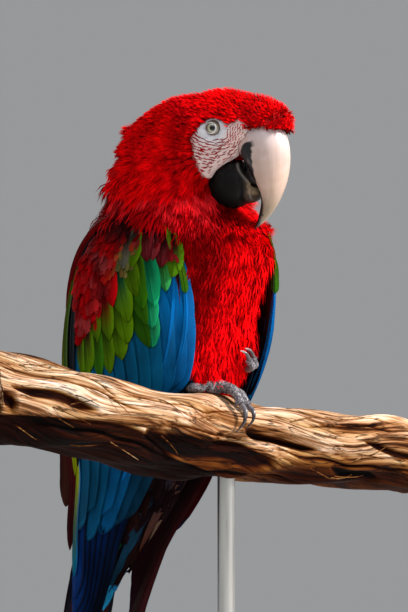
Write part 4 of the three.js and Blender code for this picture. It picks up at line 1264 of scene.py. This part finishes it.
def feathered_arm(name, side):
    """Shows the wing's arm, and grows its small red coverts on it."""
    arm = wing_underlay(side)
    p, normal = places(arm)
    (x, y, z), level = p.T, through(WING_LEVELS, p[:, 2])
    u = (wing_angle(p, level, wing_lead(side, z)) - level[:, 3]) / (level[:, 4] - level[:, 3])
    colour = covert_plume(z, u, p)
    outward = normal[:, 0] * x + normal[:, 1] * (y - 30) > 0
    line = 549 + 70 * ease(0.72 - u, 0, 0.45) + 13 * ease(0.35 - u, 0, 0.1)  # the lower edge of the red coverts
    rear = mix(0.64, 0.79, ease(z, 580, 612))
    cover = ease(z - line - 6 * ripple(p, 25, 9), -3, 3) * outward * ease(rear - u, 0, 0.03)
    set_map(arm, BAKE_MAP, np.clip(np.column_stack([u, (z - 440) / 220]), 0.01, 0.99))
    grown = with_values(
        arm, cover=cover, lie=unit(along_surface(unit(vec(-0.05 * side, 0.12, -1)), normal)),
        reach=layered(18.0, (12.0, ease(z, 580, 640)), (7.0, ease(z, 638, 648))) * MM,
        breadth=0 * u + 0.5, loft=0 * u + 0.6, plume=rgba(colour),
    )
    feathered(f"wing_{name}_small_coverts", grown, STREAK, 2.3, 5, "wing_covert_feathers", 0.9)
    # painted shade: the arm shows only between feathers, so it gets the coverts' colour at 0.4, near black at the rear
    # edge and low down, and dark maroon, partly its own, on the wing's inner face
    dark = np.maximum(ease(u, 0.62, 0.7), ease(540 - z, 0, 20))
    set_values(arm, "tint", rgba(mix(MAROON * 0.35, mix(colour * 0.4, NIGHT * 0.6, dark), outward)))
    set_values(arm, "bare", 0 * u)
    piece(f"wing_{name}_arm", arm, SKIN, "wing_covert_feathers", f"wing_{name}_coverts")


for side_name, side in SIDES.items():
    coverts, flight = wing_feathers(side)
    feathered_arm(side_name, side)
    piece(f"wing_{side_name}_green_coverts", coverts.mesh("coverts"), VANE, "wing_covert_feathers")
    replaced = f"wing_{side_name}_secondaries", f"wing_{side_name}_primaries"
    piece(f"wing_{side_name}_flight", flight.mesh("flight"), VANE, "flight_feathers", *replaced)
cape()


# ---- tail
# Long coverts under the tail: place across at root and tip, height of root and tip, half width and colours. The colours
# are near black: partly the feathers' own dark tones, partly painted shade under the tail.
UNDERTAIL = [
    (-32, -13, 480, 356, 7.5, NIGHT, OCEAN * 0.45), (-25, -8, 488, 362, 7, NIGHT * 0.6, TEAL * 0.2),
    (-16, -1, 484, 356, 7, NIGHT * 0.6, OCEAN * 0.4), (15, 19, 484, 372, 6, NIGHT * 0.6, NIGHT * 0.6),
    (-7, 5, 486, 388, 6, NIGHT, RUSSET * 0.7), (6, 12, 488, 396, 5.5, RUSSET * 0.6, mix(RUSSET, ASH, 0.5) * 1.4),
    (12, 18, 488, 408, 5, NIGHT, RUSSET * 0.9), (21, 17, 478, 352, 5.0, AZURE, mix(AZURE, TEAL, 0.4) * 0.7),
]
TAIL_BASE = vec(0, 95, 446)
TAIL_DOWN = unit(vec(0, 0.2, -1))
TAIL_OUT = unit(vec(0, 1, 0.2))
TAIL_LENGTHS = [400, 352, 300, 252, 212, 178]
TAIL_WIDE = [7, 9.6, 9.8, 9.4, 8.4, 6.4, 5.2]
TAIL_ROUNDED = 0.2


def evened(points):
    """A path made even by averaging each point with its neighbours."""
    points = np.array(points)
    for _ in range(12):
        points[1:-1] = (points[:-2] + 2 * points[1:-1] + points[2:]) / 4
    return points


def under_tail():
    pile = Blades(len(UNDERTAIL))
    for number, (root_x, tip_x, root_z, tip_z, half, root_colour, tip_colour) in enumerate(UNDERTAIL):
        starts = np.linspace((root_x, BEFORE_TAIL, root_z), (tip_x, BEFORE_TAIL, tip_z), 20)
        struck = [on_skin(start, (0, 1, 0)) for start in starts]
        struck = [(spot, normal) for spot, normal in struck if spot is not None]
        middle = evened([spot + normal * (6.8 + 0.5 * number) for spot, normal in struck])
        out = unit(evened([unit(normal * vec(0.4, 1, 0.3)) for _, normal in struck]))
        colours = plain(root_colour, tip_colour, tip_colour * 0.6, NIGHT)
        pile.feather(middle, out, vec(1, 0, 0), half, *colours, camber=0.8, tilt=0.2, fray=3.0, rounded=0.35)
    piece("undertail_long_coverts", pile.mesh("long coverts"), VANE, "undertail_feathers")


def tail_side(name, side):
    pile, blue = Blades(2 * len(TAIL_LENGTHS)), mix(ROYAL, AZURE, 0.45)
    s = 1 - (1 - np.linspace(0, 1, 34)) ** 1.4
    half = along(TAIL_WIDE, s)[:, 0]
    for pair, length in enumerate(TAIL_LENGTHS):
        sideways = 1.5 * pair - 0.7 + half * outline(s, TAIL_ROUNDED) + math.sin(math.radians(0.45 * pair)) * s * length
        inwards = 2.1 * pair + 0.5 + 0.9 * (side == LEFT) * (pair == 0)
        middle = (
            TAIL_BASE + sideways[:, None] * vec(side, 0, 0) + (s * length)[:, None] * TAIL_DOWN - inwards * TAIL_OUT
        )

        def upper(s, t):
            return layered(
                SKY * 0.8,
                (CRIMSON * 0.75, ease(s * length, 40, 90)),
                (NIGHT, (pair > 0) * ease(t, 0.0, 0.6) * 0.9),
                (blue, ease(s, 0.72, 0.93) + 0.5 * ease(-t, 0.5, 1) * ease(s, 0.3, 0.7)),
            )

        pile.feather(
            middle, np.broadcast_to(TAIL_OUT, middle.shape), vec(side, 0, 0), half, upper,
            lambda s, t: mix(MAROON * 0.7, NIGHT, ease(np.abs(t), 0.1, 0.7)), camber=0.6, tilt=0.0, fray=0.8,
            rounded=TAIL_ROUNDED,
        )
    piece(f"tail_{name}", pile.mesh("tail"), VANE, "tail_feathers", *(f"tail_{name}_{k + 1}" for k in range(6)))


under_tail()
for side_name, side in SIDES.items():
    tail_side(side_name, side)

# ---- bill
# The dark patch at the root of the upper bill, in profile (forward, up).
DARK_PATCH = [
    (42, -6.8), (36, -7.8), (31.7, -11), (28.6, -19), (24, -27), (20, -40), (30, -66), (46, -66), (44.5, -50),
    (42.5, -38), (41.3, -26), (41, -16),
]
DARK_HORN = vec(0.006, 0.005, 0.005)


def ball(at, half, rows=40):
    """A rounded solid in the head's frame: middle and half sizes (forward, left, up)."""
    rise, turn = np.linspace(0, math.pi, rows + 1)[1:-1, None], circle(2 * rows)[None, :]
    ring = head_point(
        at[0] + half[0] * np.sin(rise) * np.cos(turn), at[1] + half[1] * np.sin(rise) * np.sin(turn),
        at[2] + half[2] * np.cos(rise) + 0 * turn,
    )
    return capped(ring), ring_faces(rows - 1, 2 * rows)


def bill_tint(p):
    f, _, u = in_head(p).T
    off = polygon_distance(np.column_stack([f, u]), DARK_PATCH) + 0.3 * np.sin(u * 0.9)
    inner = along(EDGE, np.clip(-u / 77, 0, 1))[..., 0]
    dark = np.maximum(1 - ease(off, -0.4, 0.5), ease(inner + 3.2 - f, -0.8, 0.8) * ease(-u, 30, 44))
    return layered(
        vec(0.62, 0.47, 0.43),
        (vec(0.46, 0.28, 0.18), np.clip(ease(-u, 6, 45) * 0.6 + 0.14 * ripple(p, 12, 2), 0, 1)),
        (vec(0.62, 0.52, 0.54), ease(u, -16, 2) * 0.7),
        (vec(0.18, 0.12, 0.055), ease(-u, 42, 64) * 0.85),
        (vec(0.60, 0.42, 0.39), ease(39 - f, 0, 1.5) * ease(-u, 1, 5) * ease(off, -0.5, 0.5)),
        (mix(DARK_HORN, vec(0.07, 0.06, 0.06), ease(ripple(p * vec(1, 1, 0.4), 7, 5), 0.2, 0.7)), dark),
    )


def lower_bill():
    """A scoop with a hollow in its top, ridges along its sides and a worn front edge."""
    scoop = Pile()
    scoop.add(*ball((15, 0, -40), (21.3, 16.8, 19.8)))
    scoop.add(*ball((29, 0, -48), (12.8, 10.8, 7.8)))
    cutter = put("cutter", solid("hollow", *ball((38, 0, -33), (15, 9, 11))))
    cut = ("BOOLEAN", {"operation": "DIFFERENCE", "object": cutter, "solver": "EXACT"})
    lower = worked(melted(outwards(scoop.mesh("scoop")), 0.6, 6), cut)
    bpy.data.objects.remove(cutter)
    p, normal = places(lower)
    f, l, u = in_head(p).T
    from_ridge = f - mix(24, 36, ease(-u, 22, 46))
    ridge = hump(from_ridge, 1.3) * ease(np.abs(l), 4, 9)
    move_points(lower, p + normal * (1.5 * ridge - 1.6 * hump(from_ridge - 5.5, 3.2))[:, None])
    worn = ease(f + 0.8 * ripple(p, 5, 1), 32.5, 35) * ease(u + 0.8 * ripple(p, 4, 3) + 0.25 * (f - 34), -49, -46.5)
    set_values(lower, "tint", rgba(layered(
        DARK_HORN,
        (vec(0.016, 0.012, 0.011), ease(from_ridge, 0, 5)),
        (vec(0.075, 0.048, 0.035), ease(f, 30, 34) * ease(u, -57, -52)),
        # a light grey line along each side ridge: painted highlight
        (vec(0.19, 0.17, 0.15), ridge**2 * 0.8),
        (vec(0.32, 0.22, 0.13), worn * 0.9),
    )))
    lower.shade_smooth()
    return lower


upper = solid("bill", bill_points, ring_faces(*BILL_GRID), tint=rgba(bill_tint(bill_points)))
piece("upper_bill", upper, HORN, "pale_bill", "bill_upper")
piece("lower_bill", lower_bill(), DARK_BILL, "dark_bill", "bill_lower")
piece("mouth_tongue", solid("tongue", *ball((38, 0, -33), (11.2, 6.7, 8.2), 24)), TONGUE, "tongue", "tongue")

# ---- eyes, lids and the face's rows
LIDS = (3.8, 9.6)  # inner and outer radius of the bare ring round the eye
LID_GRID = (20, 72)
# Lines of little feathers under the eye: their middle (forward, up), the first line's radius, and
# the gaps between lines and between feathers.
ROWS_MIDDLE, FIRST_ROW, ROW_GAP, ROW_STEP = (15.7, 18.3), 23.6, 2.35, 2.0


def on_face(side, forward, up):
    """Place and outward direction of the skin beside a point of the profile."""
    return on_skin(head_point(forward, side * BESIDE_HEAD, up), -side * LEFTWARD)


def lid_point(side, share, angle):
    """A point of the lids: they wrap the eye, fold twice and run out on to the skin."""
    r = mix(*LIDS, share)
    reach = r * (1 + 0.05 * math.cos(2 * angle) * (1 - share))
    f, u = EYE["forward"] + reach * math.cos(angle), EYE["up"] + reach * math.sin(angle)
    ground_point, _ = on_face(side, f, u)
    level = EYE["out"] + 3 if ground_point is None else in_head(ground_point)[1] * side
    near = EYE["out"] + math.sqrt(max(EYE["radius"] ** 2 - reach**2, 0)) if r < 7 else level
    folds = 0.3 * hump(r - 4.4, 0.45) + 0.2 * hump(r - 6.6, 0.8) + 0.06 * math.sin(40 * angle) * share
    return head_point(f, side * (mix(near - 0.1, level - 0.25, ease(r, 5.2, 8.8)) + folds), u)


def face_side(name, side):
    at, turned = vec(EYE["forward"], side * EYE["out"], EYE["up"]), math.radians(EYE["turned"])
    points, faces = ball(at, (EYE["radius"],) * 3, 48)
    gaze = vec(math.sin(turned), side * math.cos(turned), 0)
    ahead = (in_head(points) - at) @ gaze
    off = np.linalg.norm(in_head(points) - at - ahead[:, None] * gaze, axis=1)
    globe = solid("eye", points, faces, ring=np.where(ahead < 0, 1.0, off / 8))
    piece(f"eyeball_{name}", globe, IRIS, "eye", f"eye_{name}")

    shares = np.linspace(0, 1, LID_GRID[0])
    ring = np.array([[lid_point(side, share, angle) for angle in circle(LID_GRID[1])] for share in shares])
    shade = mix(vec(0.16, 0.11, 0.09), vec(0.72, 0.70, 0.73), ease(mix(*LIDS, shares), 3.95, 4.4))
    tint = rgba(np.broadcast_to(shade[:, None], ring.shape).reshape(-1, 3))
    lids = solid("lids", ring, ring_faces(*LID_GRID, closed=False), tint=tint, bare=1.0)
    piece(f"eye_lids_{name}", lids, SKIN, RED)

    roots = []

    def plant(forward, up, way, length, width):
        inside = polygon_distance(vec(forward, up)[None], FACE)[0] < -1.0
        clear = math.hypot(forward - at[0], up - at[2]) > 10.0
        spot, out = on_face(side, forward, up) if inside and clear else (None, None)
        if spot is not None and abs(in_head(spot)[1]) >= 8:
            lie = unit(along_surface(way[0] * FORWARD + way[1] * UP, out))
            roots.append((spot, out, lie, length, width, 0.5, vec(0.55, 0.010, 0.012)))

    for row in range(12):  # lines of little feathers hang in curves under the eye
        radius = FIRST_ROW + ROW_GAP * row
        for step in range(int(radius * 1.9 / ROW_STEP)):
            a = -math.pi * 0.93 + step * ROW_STEP / radius + 0.03 * math.sin(5 * step + row)
            wave = radius + 0.4 * math.sin(1.7 * step + 2 * row)
            f, u = ROWS_MIDDLE[0] + wave * math.cos(a), ROWS_MIDDLE[1] + wave * math.sin(a)
            if f < 27 or u < -8:
                plant(f, u, (math.sin(a), -math.cos(a)), 4.0, 0.22)
    for column in range(8):  # finer dots stand in columns between the eye and the bill
        for step in range(10):
            f = 25.5 + 1.9 * column - 0.12 * step + 0.3 * math.sin(3 * step + column)
            plant(f, 8.8 - 1.9 * step + 0.4 * math.sin(2 * column), (-0.5, -0.85), 2.2, 0.42)
    f, _, u = in_head(np.array([root[0] for root in roots])).T
    rooted(f"face_rows_{name}", roots, DASH, (f / 90 + 0.2, u / 90 + 0.6), 0.5)


for side_name, side in SIDES.items():
    face_side(side_name, side)

# ---- feet
# Toes and claws by number; stations: along the branch, degrees round it, and height above the bark.
TOES = {
    2: (
        [(-8, -12, 5.6), (-3, 8, 6.2), (0, 22, 8.5), (2, 33, 9), (3, 44, 6)],
        [(3, 46, 6), (2, 56, 7.5), (0, 66, 6), (-3, 75, 1.6)],
    ),
    3: (
        [(-16, -12, 5.8), (-12, 6, 7), (-9, 20, 10), (-7, 31, 11), (-6, 44, 7.5)],
        [(-6, 46, 7.5), (-8, 58, 8), (-11, 70, 5.5), (-14, 81, 1)],
    ),
    1: ([(-10, 10, 5.6), (-5, -14, 5.7), (-1, -36, 5.3)], [(-1, -38, 4.5), (0, -50, 6), (1, -64, 1.5)]),
    4: (
        [(-15, 10, 5.6), (-20, -16, 6), (-25, -38, 5.7), (-27, -50, 5.3)],
        [(-27, -52, 4.5), (-28, -64, 6), (-28, -78, 1.5)],
    ),
}
TUCKED_TOE = [(29, -24, 533), (25, -40, 530.5), (17, -50.5, 532), (11.5, -52, 537)]
TUCKED_CLAW = [(11.2, -52.3, 537.5), (9, -52.3, 541), (6.5, -51.3, 543.4), (4.5, -49, 544.4)]
TUCKED_SHIFTS = {2: (0, 0, 0), 3: (9, 3, 2)}
FOOT_GRAIN = 0.65


def tube(pile, path, radius, flat=1.0, rows=40, around=20, **values):
    """A tube along a smooth path, in a plane across the branch; radius and values follow s."""
    s = np.linspace(0, 1, rows)
    middle = along(path, s)
    way = unit(np.gradient(middle, axis=0))
    side = unit(vec(1, 0, 0) - way * way[:, :1])
    turn = circle(around)[None, :, None]
    section = flat * np.cos(turn) * side[:, None] + np.sin(turn) * np.cross(side, way)[:, None]
    ring = middle[:, None] + radius(s)[:, None, None] * section
    values = {key: rgba(capped(np.broadcast_to(value(s)[:, None], ring.shape))) for key, value in values.items()}
    pile.add(capped(ring), ring_faces(rows, around), **values)


def toe(pile, path, size):
    """A toe: three swollen pads, and fifteen scutes in a row."""

    def radius(s):
        return size * (1 - 0.2 * s + 0.09 * np.cos(FULL_TURN * 3 * s) + 0.025 * np.sin(FULL_TURN * 15 * s))

    tube(pile, path, radius)


def claw(side, number, path, size, root, tip, *turns):
    """Shows a claw: it tapers to a point and goes from the root's tone to the tip's."""
    nail = Pile()
    tube(
        nail, path, lambda s: mix(size, 0.35, s**1.3), 0.8,
        tint=lambda s: mix(vec(*root), vec(*tip), ease(s, *turns)),
    )
    piece(f"nail_{side}_{number}", outwards(nail.mesh("nail")), CLAW, "claw", f"claw_{side}_{number}")


def stations(points):
    return [on_perch(x, math.radians(turn), above) for x, turn, above in points]


def feet():
    standing, tucked = Pile(), Pile()
    for path, _ in TOES.values():
        toe(standing, stations(path), 4.5)
    tube(standing, [(-16, -2, 540), on_perch(-12, 0, 40.0), on_perch(-12, 0, 8.0)], lambda s: 5.6 + 0 * s)
    points, faces = ball((0, 0, 0), (1, 1, 1), 20)
    for middle, half in ((on_perch(-12, 0, 6.7), (11.2, 10.2, 5.8)), (on_perch(-25, -0.1, 5.2), (9.5, 9, 5))):
        standing.add(middle + (points - HEAD_CENTRE) * vec(*half), faces)
    for shift in TUCKED_SHIFTS.values():
        toe(tucked, [vec(*p) + vec(*shift) * k / 3 for k, p in enumerate(TUCKED_TOE)], 3.4)
    for name, pile, nodes in (
        ("standing_foot", standing, ("foot_right", "shank_right")), ("tucked_foot", tucked, ("foot_left",)),
    ):
        piece(name, melted(outwards(pile.mesh(name)), FOOT_GRAIN, 3), SCALES, "foot_skin", *nodes)
    for number, (_, path) in TOES.items():
        claw("right", number, stations(path), 2.65, (0.16, 0.15, 0.17), (0.025, 0.022, 0.028), 0.15, 0.6)
    for number, shift in TUCKED_SHIFTS.items():
        path = [vec(*p) + vec(*shift) for p in TUCKED_CLAW]
        claw("left", number, path, 1.95, (0.10, 0.09, 0.10), (0.62, 0.60, 0.62), 0.45, 0.9)


feet()

# ---- branch and stand
# Cracks and hollows of the branch: stations (along, degrees round), half width in degrees, depth. Each is cut in and
# also painted dark as shade.
CREVICES = [
    ([(-290, 80), (-254, 82), (-213, 86), (-188, 93)], 7, 6), ([(-300, 97), (-284, 104)], 10, 6),
    ([(-132, 100), (-98, 109), (-48, 110), (0, 117), (40, 128)], 17, 9), ([(-4, 72), (45, 90), (94, 97)], 8, 6),
    ([(141, 75), (199, 96), (240, 104)], 7, 5), ([(106, 125), (150, 138), (182, 149)], 9, 5),
    ([(-245, 20), (-229, 26), (-173, 58), (-150, 66)], 2.6, 2.2),
    ([(-160, 57), (-90, 50), (-21, 49), (10, 52)], 2.2, 1.6),
    ([(67, 57), (140, 52), (208, 54)], 2.6, 2.0), ([(-280, 50), (-200, 62), (-120, 80)], 2.4, 1.8),
    ([(20, 100), (80, 112), (160, 118), (236, 128)], 3.2, 2.6), ([(-110, 78), (-40, 84), (20, 96)], 2.6, 2.0),
    ([(-255, 128), (-160, 122), (-80, 136)], 4, 3.0), ([(-70, 146), (20, 150), (90, 160)], 3.5, 3.0),
    ([(40, 22), (130, 34), (230, 40)], 2.4, 1.8), ([(-280, -20), (-150, -8), (-60, -22)], 3, 2.4),
    ([(-250, 230), (-120, 250), (-40, 262)], 8, 6), ([(-60, 300), (60, 290), (160, 310)], 6, 5),
    ([(40, 215), (150, 235), (230, 240)], 6, 5), ([(-180, 305), (-90, 292), (10, 318)], 4, 3),
]
# The line below which the branch turns under; beneath it the bark is cut back and painted dark as shade.
LEDGE = [(-300, 116), (-219, 106), (-127, 101), (-90, 126), (-50, 140), (20, 165)]
RIDGES = [(5, 0.9), (9, 0.9), (17, 0.6), (31, 0.35)]  # number round the branch and height
BRANCH_GRID = (440, 176)
LOOSE_FIBRES = 26
ROD_PLACE = (5, -34)
SHARP_FROM = math.radians(35)


def branch():
    rows, around = BRANCH_GRID
    x, angle = np.linspace(PERCH["from"], PERCH["to"], rows)[:, None], circle(around)[None, :]
    turned = angle - 0.0022 * x - 0.16 * np.sin(x / 52) - 0.08 * np.sin(x / 23 + 2 * angle)
    size = perch_radius(x, angle)
    grain = np.stack([x + 0 * angle, size * np.cos(turned), size * np.sin(turned)], axis=-1)
    ridges = sum(high * np.sin(n * turned + 1.6 * np.sin(x / (38 + n) + n)) for n, high in RIDGES)
    # shade is painted shade: a little darker between the ridges
    deep, shade = 0.55 * (2.2 - ridges), 1 - 0.13 * (1 - ridges)
    for path, wide, depth in CREVICES:
        low, high = path[0][0], path[-1][0]
        middle = np.radians(through(path, x[:, 0])) + 0.03 * np.sin(x / 9)
        ends = np.sqrt(np.clip(np.minimum(x - low, high - x) / (0.22 * (high - low)), 0, 1))
        off = np.abs(turn_between(angle, middle)) / (math.radians(wide) * np.maximum(ends, 0.05))
        cut = np.exp(-(off**2.6)) * ends
        deep = deep + depth * cut
        # painted shade in each crevice
        shade = shade * (1 - 0.97 * ease(cut * (0.5 + 0.1 * depth), 0.15, 0.75))
    below = turn_between(angle, np.radians(through(LEDGE, x[:, 0])))
    beneath = ease(below, 0, 0.09) * ease(2.5 - below, 0, 1.2) * ease(20 - x, 0, 40)
    deep = deep + 4.0 * beneath * ease(0.75 - below, 0, 0.5)
    # painted shade under the ledge, on the lower right and on the underside
    shade = shade * (1 - beneath * mix(0.965, 0.86, ease(below, 0.1, 0.9)))
    shade = shade * (1 - 0.7 * ease(x, 20, 70) * ease(angle, 1.62, 2.0) * ease(-angle, -3.4, -2.7))
    shade = shade * mix(1.0, 0.16, ease(-np.cos(angle), 0.3, 0.85))
    under_foot = ease(np.cos(angle), 0.15, 0.5) * ease(x, -45, -32) * ease(-x, -16, -6)
    pile = Pile()
    pile.add(
        capped(on_perch(x, angle, -deep * (1 - under_foot))), ring_faces(rows, around), grain=capped(grain) * MM,
        shade=capped(shade[..., None])[:, 0],
    )
    for k in range(LOOSE_FIBRES):
        start, turn = chance.uniform(-290, 225), math.radians(chance.uniform(30, 150))
        length, lift, swing = chance.uniform(14, 44), chance.uniform(1.5, 5.0), chance.uniform(-0.35, 0.45)
        bows = ((0, 0), (0.3, 0.7), (0.7, 1.0), (1, 0.8 + 0.4 * math.sin(k)))
        path = [on_perch(start + length * t, turn + swing * t, -2.0 + lift * bow) for t, bow in bows]
        strand = Pile()
        tube(strand, path, lambda s: 0.55 * (1 - 0.7 * s), rows=14, around=6)
        points = np.concatenate(strand.points)
        pile.add(points, strand.faces, grain=points * MM, shade=chance.uniform(0.2, 0.75))
    return outwards(pile.mesh("branch"))


def turned_piece(name, profile, at, material, slot, node_name, around=160):
    """A turned piece: its profile (radius, height) spun about an upright axis."""
    radius, height = np.array(profile, float).T[..., None]
    turn = circle(around)[None, :]
    ring = np.stack([at[0] + radius * np.cos(turn), at[1] + radius * np.sin(turn), height + 0 * turn], axis=-1)
    mesh = solid(name, capped(ring), ring_faces(len(profile), around))
    mesh.set_sharp_from_angle(angle=SHARP_FROM)
    piece(name, mesh, material, slot, node_name)


def rounded_edge(radius, height, soft):
    bend = np.linspace(0, math.pi / 2, 8)
    return [(radius - soft + soft * math.cos(b), height - soft + soft * math.sin(b)) for b in bend]


piece("branch", branch(), BARK, "bark", "perch")
disc = [(155, 0.0), (158, 0.0), (160, 2), *rounded_edge(160, 20, 4), (120, 20)]
collar = [(7.3, 20.3), (17, 20.3), *rounded_edge(17, 29.3, 3), (7.3, 29.3)]
rod = [(6.5, 8), (7, 8.5), (7, 457.5), (6.5, 458)]
turned_piece("base_disc", disc, (0, 0), WOOD, "stand_wood", "stand_base")
turned_piece("collar", collar, ROD_PLACE, METAL, "stand_metal", "stand_collar")
turned_piece("rod", rod, ROD_PLACE, METAL, "stand_metal", "stand_rod")

# ---- the end
for spare in (PLUSH, SILK, BODY_VANE, LONG_VANE, DASH, STREAK):
    bpy.data.objects.remove(spare)
